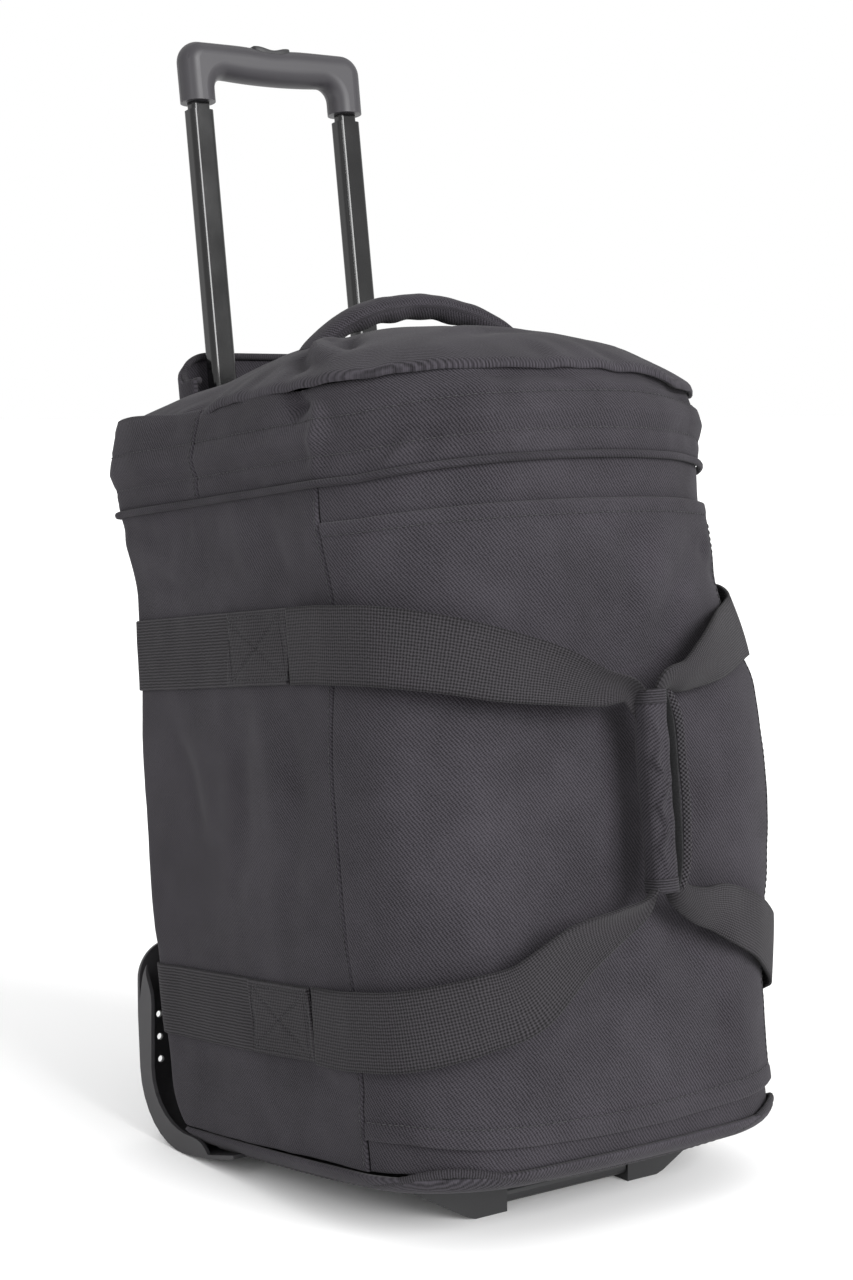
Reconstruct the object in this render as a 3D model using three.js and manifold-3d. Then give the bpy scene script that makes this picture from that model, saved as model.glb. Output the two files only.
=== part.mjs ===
// A soft wheeled holdall standing on its end: fabric bag, rear trolley with a two-stage handle,
// wheel tray, front feet, zipped front panel and two webbing carry loops. Millimetres, +Z up.
import * as THREE from 'three';
import { mergeVertices } from 'three/addons/utils/BufferGeometryUtils.js';
import Module from 'manifold-3d';

const wasm = await Module();
wasm.setup();

// ---- Driving dimensions (bag frame: x across, y to the back, z up along the bag) ----
const LEAN = THREE.MathUtils.degToRad(6.6); // the bag leans back from its feet onto its wheels
const TROLLEY_TILT = 0.038; // the trolley and the back panel lean a little more (radians)
const BACK_Y = 291.3; // trolley plane at z = 0
const BACK_PROUD = 6.7; // the back panel stands this far behind the trolley plane
const CHANNEL_HALF = 98; // half width of the recessed trolley channel in the back
const CHANNEL_DEPTH = -8; // channel floor, measured from the trolley plane
const WALL = 5; // padded fabric wall
const GAP = 0.3; // clearance between pieces that touch
const SEAM_Y = 47; // the front panel is hinged on this seam of the left side
const CORNER_EDGE = new THREE.Vector2(163, 38); // free edge of the front panel, right corner
const PANEL_BOTTOM = 66;
const PANEL_TOP = 458;
const BAG_BOTTOM = 36.5;
const PIPING_Z = 483;
const RIM_Z = 548; // seam between the top gusset and the domed top
const DOME_RISE = 41;
const DOME_CENTRE_Y = 145;
const STRAP_WIDTH = 50;
const STRAP_LEVELS = { upper: 381, lower: 136 };
const STRAP_SEWN_TO_Y = 92.5; // the straps are free in front of this point
const WHEEL = { y: 300, z: 59, radius: 30, width: 22, x: 121, wellRadius: 33, wellHalf: 15.5 };
const TUBE_X = 65.8;
const TUBE_V = 5.6; // tube axis behind the trolley plane
const FOOT = { y: 50.5, depth: 40, outline: [[52, 0], [78, 0], [84, 2], [120, 22], [124, 34], [124, 50], [52, 50]] };
const FOOT_BAR = { y: 57, z: 10.5, radius: 6, end: 66 }; // grab bar between the feet
const FOOT_SCREW = { x: 78, y: 71, z: 26, radius: 2, length: 14 };
const BUTTON = { half: 16, depth: 5, bottom: 824.1, top: 836.5, travel: 4 };

// Levels of the bag body: height, half width, front face, front corner radius.
const BODY_LEVELS = [
  [BAG_BOTTOM, 152, -16, 76], [39, 159, -24, 82], [46, 163, -28, 85], [68, 163, -30, 86],
  [136, 163, -30, 90], [200, 167, -34, 85], [270, 169, -37, 82], [330, 167, -34, 85],
  [381, 161.5, -28, 96], [430, 160.5, -26, 102], [PIPING_Z, 158, -24, 104], [497, 160.5, -27, 104],
  [525, 160.5, -26, 100], [540, 157, -23, 95], [RIM_Z, 151, -17, 88],
];
const DOME_SCALES = [0.95, 0.84, 0.68, 0.48, 0.24, 0.04];
const REAR_CORNER_RADIUS = 12;
const REAR_BOTTOM_RADIUS = 44;

// ---- Colours ----
const FABRIC = { color: 0x434146, roughness: 0.95, metalness: 0 };
const WEBBING = { color: 0x373737, roughness: 0.9, metalness: 0 };
const TRIM = { color: 0x4a494d, roughness: 0.9, metalness: 0 };
const TRAY_PLASTIC = { color: 0x4a4a4c, roughness: 0.55, metalness: 0 };
const DARK_PLASTIC = { color: 0x353537, roughness: 0.5, metalness: 0 };
const TUBE_PAINT = { color: 0x141415, roughness: 0.2, metalness: 0.6 };
const STEEL = { color: 0x9a9a9c, roughness: 0.35, metalness: 1 };
const RUBBER = { color: 0x1c1c1d, roughness: 0.8, metalness: 0 };
const BOARD = { color: 0x5a5348, roughness: 0.8, metalness: 0 };

// ---- Geometry helpers ----
const V = (x, y, z) => new THREE.Vector3(x, y, z);
const SIDES = [['left', -1], ['right', 1]];

function toSolid(geometry, matrix = new THREE.Matrix4()) {
  const bare = geometry.clone().applyMatrix4(matrix);
  bare.deleteAttribute('normal');
  bare.deleteAttribute('uv');
  const merged = mergeVertices(bare, 1e-3);
  const triVerts = new Uint32Array(merged.index.array);
  const vertProperties = new Float32Array(merged.attributes.position.array);
  return new wasm.Manifold(new wasm.Mesh({ numProp: 3, vertProperties, triVerts }));
}

function toGeometry(solid) {
  const mesh = solid.getMesh();
  const geometry = new THREE.BufferGeometry();
  geometry.setAttribute('position', new THREE.BufferAttribute(mesh.vertProperties, 3));
  geometry.setIndex(new THREE.BufferAttribute(mesh.triVerts, 1));
  geometry.computeVertexNormals();
  return geometry;
}

function signedVolume(positions, index) {
  let total = 0;
  for (let i = 0; i < index.length; i += 3) {
    const [a, b, c] = [0, 1, 2].map((k) => V().fromArray(positions, 3 * index[i + k]));
    total += a.dot(b.cross(c));
  }
  return total;
}

// A closed skin over rings of equally many points, with a fan over each end.
function loft(rings) {
  const count = rings[0].length;
  const positions = rings.flat().flatMap((p) => [p.x, p.y, p.z]);
  const index = [];
  for (let i = 0; i + 1 < rings.length; i++) {
    for (let j = 0; j < count; j++) {
      const a = i * count + j;
      const b = i * count + ((j + 1) % count);
      index.push(a, b, b + count, a, b + count, a + count);
    }
  }
  const last = (rings.length - 1) * count;
  for (let j = 1; j + 1 < count; j++) {
    index.push(0, j + 1, j, last, last + j, last + j + 1);
  }
  if (signedVolume(positions, index) < 0) index.reverse();
  const geometry = new THREE.BufferGeometry();
  geometry.setAttribute('position', new THREE.Float32BufferAttribute(positions, 3));
  geometry.setIndex(index);
  return geometry;
}

function box(x0, x1, y0, y1, z0, z1) {
  const geometry = new THREE.BoxGeometry(x1 - x0, y1 - y0, z1 - z0);
  return geometry.translate((x0 + x1) / 2, (y0 + y1) / 2, (z0 + z1) / 2);
}

const boxSolid = (...limits) => toSolid(box(...limits));

// A cylinder along x between x0 and x1.
function barX(radius, x0, x1, y, z, segments = 24) {
  const geometry = new THREE.CylinderGeometry(radius, radius, x1 - x0, segments);
  return geometry.rotateZ(Math.PI / 2).translate((x0 + x1) / 2, y, z);
}

function roundedRect(width, depth, radius) {
  const [w, d, r] = [width / 2, depth / 2, radius];
  const shape = new THREE.Shape();
  shape.moveTo(-w + r, -d);
  shape.lineTo(w - r, -d);
  shape.absarc(w - r, -d + r, r, -Math.PI / 2, 0);
  shape.lineTo(w, d - r);
  shape.absarc(w - r, d - r, r, 0, Math.PI / 2);
  shape.lineTo(-w + r, d);
  shape.absarc(-w + r, d - r, r, Math.PI / 2, Math.PI);
  shape.lineTo(-w, -d + r);
  shape.absarc(-w + r, -d + r, r, Math.PI, 1.5 * Math.PI);
  return shape;
}

function prism(shape, depth, curveSegments = 4) {
  return new THREE.ExtrudeGeometry(shape, { depth, bevelEnabled: false, curveSegments });
}

// Turns an extrusion along z of an (x, height) outline into one along -y from y1 down to y0.
const standing = (shape, y0, y1, segments) =>
  prism(shape, y1 - y0, segments).rotateX(Math.PI / 2).translate(0, y1, 0);

// Turns an extrusion of a (y, z) outline into one along x from x0 to x1.
const sideways = (shape, x0, x1, segments) =>
  prism(shape, x1 - x0, segments).rotateY(Math.PI / 2).rotateX(Math.PI / 2).translate(x0, 0, 0);

function polygon(points) {
  return new THREE.Shape(points.map(([a, b]) => new THREE.Vector2(a, b)));
}

// ---- Scene graph ----
const holdall = new THREE.Group();
const bag = new THREE.Group();
bag.rotation.x = -LEAN;
holdall.add(bag);
const trolley = new THREE.Group();
trolley.position.y = BACK_Y;
trolley.rotation.x = -TROLLEY_TILT;
bag.add(trolley);
trolley.updateMatrix();
const trolleyToBag = trolley.matrix.clone();

function add(parent, name, geometry, look) {
  const mesh = new THREE.Mesh(geometry, new THREE.MeshStandardMaterial(look));
  mesh.name = name;
  parent.add(mesh);
  return mesh;
}

const addSolid = (parent, name, solid, look) => add(parent, name, toGeometry(solid), look);

// ---- Bag body ----
function backFace(z) {
  const straight = BACK_Y + TROLLEY_TILT * z + BACK_PROUD;
  const below = BAG_BOTTOM + REAR_BOTTOM_RADIUS - z;
  if (below <= 0) return straight;
  return straight - REAR_BOTTOM_RADIUS + Math.sqrt(Math.max(REAR_BOTTOM_RADIUS ** 2 - below ** 2, 0));
}

// One plan outline of the bag: rounded corners, a crowned front, and a straight back.
function bodyRing(z, half, front, back, frontRadius, rearRadius) {
  const ring = [];
  const corner = (cx, cy, radius, from, steps) => {
    for (let i = 0; i <= steps; i++) {
      const angle = from + (i / steps) * (Math.PI / 2);
      ring.push(V(cx + radius * Math.cos(angle), cy + radius * Math.sin(angle), z));
    }
  };
  corner(-half + frontRadius, front + frontRadius, frontRadius, Math.PI, 7);
  ring.push(V(0, front - 3, z));
  corner(half - frontRadius, front + frontRadius, frontRadius, 1.5 * Math.PI, 7);
  ring.push(V(half, (front + back) / 2, z));
  corner(half - rearRadius, back - rearRadius, rearRadius, 0, 3);
  corner(-half + rearRadius, back - rearRadius, rearRadius, Math.PI / 2, 3);
  ring.push(V(-half, (front + back) / 2, z));
  return ring;
}

// The outer form of the bag, drawn in by inset (or out, when inset is negative).
function bodyForm(inset) {
  const rings = BODY_LEVELS.map(([z, half, front, frontRadius]) => {
    const height = z === BAG_BOTTOM ? z + inset : z;
    return bodyRing(height, half - inset, front + inset, backFace(z) - inset,
      frontRadius - inset, REAR_CORNER_RADIUS - inset);
  });
  rings[1].forEach((p) => { p.z = Math.max(p.z, rings[0][0].z + 1); });
  const rim = rings.at(-1);
  for (const scale of DOME_SCALES) {
    const height = RIM_Z - inset + DOME_RISE * (1 - scale ** 3.5);
    rings.push(rim.map((p) => V(
      p.x * scale, DOME_CENTRE_Y + (p.y - DOME_CENTRE_Y) * scale, Math.max(height, RIM_Z + 0.5))));
  }
  return toSolid(loft(rings));
}

function channelCut(extra) {
  const half = CHANNEL_HALF + extra;
  return toSolid(box(-half, half, CHANNEL_DEPTH - extra, 60, -20, 640), trolleyToBag);
}

function wellCut(extra) {
  const [inner, outer] = [WHEEL.x - 20 - extra, WHEEL.x + 20 + extra];
  const radius = WHEEL.wellRadius + 3.5 + extra;
  const left = toSolid(barX(radius, -outer, -inner, WHEEL.y, WHEEL.z));
  return left.add(toSolid(barX(radius, inner, outer, WHEEL.y, WHEEL.z)));
}

// The region in front of the plane that joins the left seam to the panel's right edge.
function frontRegion(z0, z1, clearance) {
  const slope = (CORNER_EDGE.y - SEAM_Y) / (CORNER_EDGE.x + 163);
  const planeAt = (x) => SEAM_Y + slope * (x + 163) - clearance;
  const outline = polygon([[-230, -120], [230, -120], [230, planeAt(230)], [-230, planeAt(-230)]]);
  return toSolid(prism(outline, z1 - z0).translate(0, 0, z0));
}

const outerForm = bodyForm(0).subtract(channelCut(0)).subtract(wellCut(0));
const innerForm = bodyForm(WALL).subtract(channelCut(WALL)).subtract(wellCut(WALL));
const shell = outerForm.subtract(innerForm);
const slab = (z0, z1) => boxSolid(-260, 260, -200, 460, z0, z1);

function backRegion(clearance) {
  const y = BACK_PROUD - REAR_CORNER_RADIUS - 6 + clearance;
  return toSolid(box(-300, 300, y, 80, -20, 640), trolleyToBag);
}

function buildPanels() {
  const middle = shell.intersect(slab(BODY_LEVELS[2][0] + GAP, PIPING_Z - GAP));
  const frontAll = frontRegion(0, 640, 0);
  const behindFront = middle.subtract(frontAll);
  const sides = behindFront.subtract(backRegion(0));
  addSolid(bag, 'side_panel_left', sides.intersect(boxSolid(-260, 0, -200, 460, 0, 640)), FABRIC);
  addSolid(bag, 'side_panel_right', sides.intersect(boxSolid(0, 260, -200, 460, 0, 640)), FABRIC);
  addSolid(bag, 'back_panel', behindFront.intersect(backRegion(GAP)), FABRIC);
  addSolid(bag, 'bottom_panel', shell.intersect(slab(0, BODY_LEVELS[2][0])), FABRIC);
  const lowerBand = frontRegion(BODY_LEVELS[2][0] + GAP, PANEL_BOTTOM - GAP, GAP);
  addSolid(bag, 'front_fascia_lower', shell.intersect(lowerBand), FABRIC);
  const upperBand = frontRegion(PANEL_TOP + GAP, PIPING_Z - GAP, GAP);
  addSolid(bag, 'front_fascia_upper', shell.intersect(upperBand), FABRIC);
  addSolid(bag, 'front_panel', shell.intersect(frontRegion(PANEL_BOTTOM, PANEL_TOP, 0.6)), FABRIC);
  addSolid(bag, 'top_gusset', shell.intersect(slab(PIPING_Z, RIM_Z - GAP)), FABRIC);
  addSolid(bag, 'top_panel', shell.intersect(slab(RIM_Z, 640)), FABRIC);
}

// A thin layer lying on the outside of the bag.
function surfaceLayer(thickness) {
  return bodyForm(-GAP - thickness).subtract(bodyForm(-GAP));
}

function buildTrims() {
  const channel = channelCut(GAP + 2);
  const cord = surfaceLayer(4.5).intersect(slab(PIPING_Z - 2.5, PIPING_Z + 2.5)).subtract(channel);
  addSolid(bag, 'top_piping', cord, TRIM);

  const tape = surfaceLayer(1.8).intersect(boxSolid(-260, 260, -200, 203, 30, 45));
  const rimInside = boxSolid(-128, 128, 6, 300, 20, BAG_BOTTOM + 2);
  addSolid(bag, 'bottom_binding', tape.subtract(rimInside), TRIM);

  const webbing = surfaceLayer(2.2);
  for (const [level, z] of Object.entries(STRAP_LEVELS)) {
    const band = webbing.intersect(slab(z - STRAP_WIDTH / 2, z + STRAP_WIDTH / 2));
    for (const [side, sign] of SIDES) {
      const [x0, x1] = sign < 0 ? [-260, -CHANNEL_HALF - 2] : [CHANNEL_HALF + 2, 260];
      const region = boxSolid(x0, x1, STRAP_SEWN_TO_Y, 460, 0, 640);
      addSolid(bag, `strap_${level}_${side}`, band.intersect(region), WEBBING);
    }
  }

  const zipOuter = frontRegion(PANEL_BOTTOM - 6, PANEL_TOP + 6, -10);
  const zipInner = frontRegion(PANEL_BOTTOM - 1, PANEL_TOP + 1, -2);
  const zipArea = zipOuter.subtract(zipInner).intersect(boxSolid(-158, 260, -200, 460, 0, 640));
  addSolid(bag, 'zip_chain', surfaceLayer(1.2).intersect(zipArea), DARK_PLASTIC);
}

function buildBoards() {
  add(bag, 'base_board', box(-128, 128, 4, 236, BODY_LEVELS[2][0] + 0.6, 50.5), BOARD);
  const board = box(-124, 124, CHANNEL_DEPTH - WALL - 4, CHANNEL_DEPTH - WALL - 0.6, 104, 520);
  add(trolley, 'back_board', board, BOARD);
}

// The padded carry handle across the top: flat sewn ends, round in the middle.
function buildTopHandle() {
  const stations = [
    [-95, 588.5, 13, 3.6], [-82, 590.5, 13, 3.8], [-66, 598, 12, 6], [-45, 606, 11, 9],
    [-20, 610, 10.5, 10], [0, 611, 10.5, 10], [20, 610, 10.5, 10], [45, 606, 11, 9],
    [66, 598, 12, 6], [82, 590.5, 13, 3.8], [95, 588.5, 13, 3.6],
  ];
  const rings = stations.map(([x, z, halfWidth, halfThickness]) => {
    const ring = [];
    for (let i = 0; i < 10; i++) {
      const angle = (i / 10) * 2 * Math.PI;
      const y = 152 + halfWidth * Math.cos(angle);
      ring.push(V(x, y, z + halfThickness * Math.sin(angle)));
    }
    return ring;
  });
  const handle = toSolid(loft(rings)).subtract(bodyForm(-GAP));
  addSolid(bag, 'top_handle', handle, FABRIC);
}

// ---- Carry loops ----
// A flat strap through stations [x, y, z, width, lean]: lean tips its upper edge forward.
function ribbon(stations, thickness) {
  const centres = stations.map(([x, y, z]) => V(x, y, z));
  const rings = stations.map(([, , , width, lean = 0], i) => {
    const ahead = centres[Math.min(i + 1, centres.length - 1)];
    const along = ahead.clone().sub(centres[Math.max(i - 1, 0)]).normalize();
    const across = V(0, -Math.sin(lean), Math.cos(lean));
    across.addScaledVector(along, -across.dot(along)).normalize();
    const normal = along.clone().cross(across).normalize();
    const corner = (u, n) => centres[i].clone()
      .addScaledVector(across, (u * width) / 2).addScaledVector(normal, (n * thickness) / 2);
    return [corner(-1, -1), corner(1, -1), corner(1, 1), corner(-1, 1)];
  });
  return loft(rings);
}

// From the sewn end on the side panel to the grip: [x, y, rise, width], rise is towards mid height.
// The left loop stands off the corner, the right loop lies close to it.
const LOOP_RUNS = {
  left: {
    both: [[166.8, 90, 0, 50], [167.8, 62, 0, 50], [168, 40, 1, 50], [162.5, 6, 3, 50],
      [149, -19, 7, 49], [128, -39, 13, 47], [100, -51, 21, 44]],
    upper: [[66, -58, 29, 36], [38, -63, 37, 24]],
    lower: [[66, -58, 46, 36], [38, -63, 59, 24]],
  },
  right: {
    both: [[166.8, 90, 0, 50], [168.2, 66, 0, 50]],
    upper: [[168, 45, 1, 50], [161, 21.6, 3, 50], [147, -0.4, 5, 48], [130.4, -16.2, 8, 46],
      [105.4, -36, 12, 44], [80, -48, 20, 41], [60, -56, 28, 34], [38, -62, 37, 24]],
    lower: [[167.4, 43, 3, 50], [161.2, 18.8, 8, 50], [149, -4.4, 13, 48], [133.6, -20.4, 23, 45],
      [107.4, -38, 38, 42], [81, -49, 49, 38], [60, -56, 56, 32], [38, -62, 60, 24]],
  },
};

function loopStations(side, level, gripX) {
  const sign = side === 'left' ? -1 : 1;
  const [gripZ, up] = level === 'upper' ? [341, -1] : [205, 1];
  const run = [...LOOP_RUNS[side].both, ...LOOP_RUNS[side][level]];
  const stations = run.map(([x, y, rise, width]) => {
    const lean = width < 40 ? (width < 30 ? 0.4 : 0.2) : 0;
    return [sign * x, y, STRAP_LEVELS[level] + up * rise, width, lean];
  });
  return [...stations, [gripX + sign * 12, -66, gripZ, 14, 0.6], [gripX, -66, gripZ, 10, 0.6]];
}

function gripStrip(x) {
  return toSolid(box(x - 1.4, x + 1.4, -72, -60, 200, 346));
}

function buildLoops() {
  const gripX = { left: -4, right: 4.5 };
  for (const [side] of SIDES) {
    let loop = gripStrip(gripX[side]);
    for (const level of Object.keys(STRAP_LEVELS)) {
      loop = loop.add(toSolid(ribbon(loopStations(side, level, gripX[side]), 2.4)));
    }
    addSolid(bag, `handle_strap_${side}`, loop, WEBBING);
  }
  // Padded wrap around both grips, open on its right where the flap closes.
  const sleeve = toSolid(prism(roundedRect(32, 27, 11), 118).translate(-1, -66, 214));
  const hollow = boxSolid(-8, 30, -74.5, -57.5, 200, 350);
  addSolid(bag, 'handle_wrap', sleeve.subtract(hollow), FABRIC);
}

// ---- Wheel tray ----
function trayOutline() {
  const shape = new THREE.Shape();
  shape.moveTo(325, 172);
  shape.lineTo(331, 120);
  shape.lineTo(333, 82);
  shape.bezierCurveTo(334, 52, 309, 27.5, 276, 27);
  shape.lineTo(240, 28);
  shape.lineTo(207, 32.5);
  return shape;
}

function buildTray() {
  const outer = trayOutline();
  outer.lineTo(207, 172);
  const inner = new THREE.Shape();
  inner.moveTo(322, 175);
  inner.lineTo(328, 120);
  inner.lineTo(330, 82);
  inner.bezierCurveTo(331, 54, 308, 30.5, 276, 30);
  inner.lineTo(240, 31);
  inner.lineTo(200, 36.2);
  inner.lineTo(200, 175);
  const filled = toSolid(sideways(outer, -166, 166, 8));
  const hollow = toSolid(sideways(inner, -167, 167, 8));
  let tray = filled.subtract(hollow);

  const lip = trayOutline();
  lip.lineTo(240, 28.6);
  lip.lineTo(246, 34.5);
  lip.bezierCurveTo(255, 43, 268, 39, 282, 43);
  lip.bezierCurveTo(302, 48, 318, 64, 316, 84);
  lip.lineTo(309.5, 130);
  lip.bezierCurveTo(308, 142, 316, 148, 317, 158);
  const lipShape = new THREE.Shape(lip.getPoints(6).filter((p) => p.y < 158.5 && p.x > 239));
  for (const [, sign] of SIDES) {
    const [x0, x1] = sign < 0 ? [-166, -163.2] : [163.2, 166];
    tray = tray.add(toSolid(sideways(lipShape, x0, x1, 1)).intersect(filled));
  }

  const topCorners = roundedRect(332, 330, 26).getPoints(6).map((p) => [p.x, p.y + 8]);
  const front = toSolid(standing(polygon(topCorners), 190, 350, 1));
  tray = tray.intersect(front.add(boxSolid(-170, 170, 190, 350, 0, 120)));

  for (const [, sign] of SIDES) {
    const x = sign * WHEEL.x;
    const archHalf = WHEEL.wellHalf + 2.5;
    const { y, z, wellRadius, wellHalf } = WHEEL;
    const arch = toSolid(barX(wellRadius + 2.5, x - archHalf, x + archHalf, y, z)).intersect(filled);
    const cavity = toSolid(barX(wellRadius, x - wellHalf, x + wellHalf, y, z));
    const bore = toSolid(barX(3.4, x - 30, x + 30, y, z));
    tray = tray.add(arch).subtract(cavity).subtract(bore);
    for (let hole = 0; hole < 3; hole++) {
      const drill = new THREE.CylinderGeometry(2.5, 2.5, 40, 12).translate(sign * 150, 330, 86 + 16.5 * hole);
      tray = tray.subtract(toSolid(drill));
    }
  }
  addSolid(bag, 'wheel_tray', tray, TRAY_PLASTIC);
}

function lathe(points, segments) {
  const profile = points.map(([radius, height]) => new THREE.Vector2(radius, height));
  return new THREE.LatheGeometry(profile, segments).rotateZ(Math.PI / 2);
}

function buildWheels() {
  const half = WHEEL.width / 2;
  const hub = [[3.4, -10], [9, -10], [10, -6], [20, -6], [21, -9], [24.7, -9],
    [24.7, 9], [21, 9], [20, 6], [10, 6], [9, 10], [3.4, 10], [3.4, -10]];
  const tyre = [[25, -9], [28, -half], [29.6, -8], [WHEEL.radius, 0], [29.6, 8], [28, half], [25, 9], [25, -9]];
  const pin = [[0, -17.8], [3, -17.8], [3, 18.3], [5, 18.3], [5, 20], [0, 20]];
  for (const [side, sign] of SIDES) {
    const place = (geometry) => geometry.translate(sign * WHEEL.x, WHEEL.y, WHEEL.z);
    add(bag, `wheel_hub_${side}`, place(lathe(hub, 24)), DARK_PLASTIC);
    add(bag, `wheel_tyre_${side}`, place(lathe(tyre, 32)), RUBBER);
    const axle = lathe(pin, 24);
    if (sign > 0) axle.rotateZ(Math.PI);
    add(bag, `axle_${side}`, place(axle), STEEL);
  }
}

// ---- Feet: flat on the floor, so they are drawn upright and trimmed by the leaning bag ----
function buildFeet() {
  const upright = new THREE.Matrix4().makeRotationX(LEAN).setPosition(0, FOOT.y, 0);
  const underBag = boxSolid(-200, 200, -50, 300, BAG_BOTTOM - 2.6, 120);
  const { radius, length, x, y, z } = FOOT_SCREW;
  const screw = new THREE.CylinderGeometry(radius, radius, length, 10).rotateX(Math.PI / 2);
  const [wide, high] = [radius + 0.4, length / 2 + 1];
  for (const [side, sign] of SIDES) {
    const outline = [...FOOT.outline];
    if (sign < 0) outline.reverse();
    const shape = polygon(outline.map(([across, up]) => [sign * across, up]));
    const block = toSolid(standing(shape, 0, FOOT.depth, 1), upright).subtract(underBag);
    const seatInner = FOOT.outline[0][0] - 14;
    const seatEnds = [sign * seatInner, sign * (FOOT_BAR.end + GAP)].sort((a, b) => a - b);
    const barSeat = toSolid(barX(FOOT_BAR.radius + GAP, ...seatEnds, FOOT_BAR.y, FOOT_BAR.z, 16));
    const screwSeat = boxSolid(sign * x - wide, sign * x + wide, y - wide, y + wide, z - high, 60);
    addSolid(bag, `foot_${side}`, block.subtract(barSeat).subtract(screwSeat), DARK_PLASTIC);
    add(bag, `foot_screw_${side}`, screw.clone().translate(sign * x, y, z), STEEL);
  }
  const bar = barX(FOOT_BAR.radius, -FOOT_BAR.end, FOOT_BAR.end, FOOT_BAR.y, FOOT_BAR.z, 16);
  add(bag, 'foot_bar', bar, DARK_PLASTIC);
}

// ---- Zip sliders on the right corner ----
function buildSliders() {
  for (const [name, z] of [['upper', 266], ['lower', 240]]) {
    const slider = new THREE.Group();
    slider.position.set(172.1, 44, z);
    slider.rotation.z = THREE.MathUtils.degToRad(-3);
    bag.add(slider);
    add(slider, `zip_slider_${name}`, box(0, 4.2, -5, 5, -7, 7), STEEL);
    add(slider, `zip_puller_${name}`, box(4.9, 6.3, -3, 3, -22, 0.4), STEEL);
  }
}

// ---- Trolley (own frame: x across, y = depth behind the trolley plane, z along the tubes) ----
function tube(size, wall, radius, from, to) {
  const hollow = [size[0] - 2 * wall[0], size[1] - 2 * wall[1]];
  const inside = Math.max(radius - wall[0], 0.8);
  const outer = toSolid(prism(roundedRect(...size, radius), to - from, 3));
  const inner = toSolid(prism(roundedRect(...hollow, inside), to - from + 2, 3).translate(0, 0, -1));
  return outer.subtract(inner).translate([0, TUBE_V, from]);
}

// A plastic guide under the lower end of a sliding tube, with the tube's own outline.
function plug(tubeSpec, from, to) {
  const block = prism(roundedRect(...tubeSpec.size, tubeSpec.radius), to - from, 3);
  return toSolid(block).translate([0, TUBE_V, from]);
}

function buildTrolley() {
  const housing = { size: [24.5, 18], wall: [1.95, 1.7], radius: 5, from: 60, to: 548 };
  const middle = { size: [20, 14], wall: [1.95, 1.45], radius: 4, from: 428, to: 786 };
  const innerTube = { size: [15.5, 10.5], wall: [1.2, 1.2], radius: 3, from: 495, to: 805.5 };
  for (const [side, sign] of SIDES) {
    const put = (name, solid, look) => addSolid(trolley, `${name}_${side}`, solid.translate([sign * TUBE_X, 0, 0]), look);
    const build = (t) => tube(t.size, t.wall, t.radius, t.from, t.to);
    put('housing_tube', build(housing), TUBE_PAINT);
    put('middle_tube', build(middle), TUBE_PAINT);
    put('inner_tube', build(innerTube), TUBE_PAINT);
    put('middle_glide', plug(middle, 419.7, 427.7), DARK_PLASTIC);
    put('inner_glide', plug(innerTube, 487, 494.7), DARK_PLASTIC);
    const rod = boxSolid(-2, 2, TUBE_V - 2, TUBE_V + 2, 500, 823.4);
    const reach = sign < 0 ? [-2, TUBE_X - 8] : [-TUBE_X + 8, 2];
    const arm = boxSolid(...reach, TUBE_V - 2, TUBE_V + 2, 819.4, 823.4);
    put('release_rod', rod.add(arm), STEEL);
  }

  let bezel = toSolid(prism(roundedRect(172, 23, 6), 8).translate(0, 6.5, housing.to + GAP));
  for (const [, sign] of SIDES) {
    const opening = prism(roundedRect(20.8, 14.8, 4), 20).translate(sign * TUBE_X, TUBE_V, 540);
    bezel = bezel.subtract(toSolid(opening));
  }
  addSolid(trolley, 'trolley_bezel', bezel, DARK_PLASTIC);
  add(trolley, 'trolley_bracket', prism(roundedRect(172, 22, 5), 10).translate(0, 6, 49.7), DARK_PLASTIC);

  const profile = polygon([[-95, -7.4], [-95, 13], [-91, 20], [-84, 23], [84, 23], [91, 20], [95, 13], [95, -7.4],
    [90.5, -7.4], [90.5, 12], [88, 17.5], [83, 19.5], [-83, 19.5], [-88, 17.5], [-90.5, 12], [-90.5, -7.4]]);
  const [sleeveFrom, sleeveTo] = [72, 594];
  const cover = toSolid(prism(profile, sleeveTo - sleeveFrom).translate(0, 0, sleeveFrom));
  const cornerShape = roundedRect(190, 2 * sleeveTo, 34);
  const trimmed = cover.intersect(toSolid(standing(cornerShape, -20, 40, 6)));
  addSolid(trolley, 'trolley_sleeve', trimmed, FABRIC);
}

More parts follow.
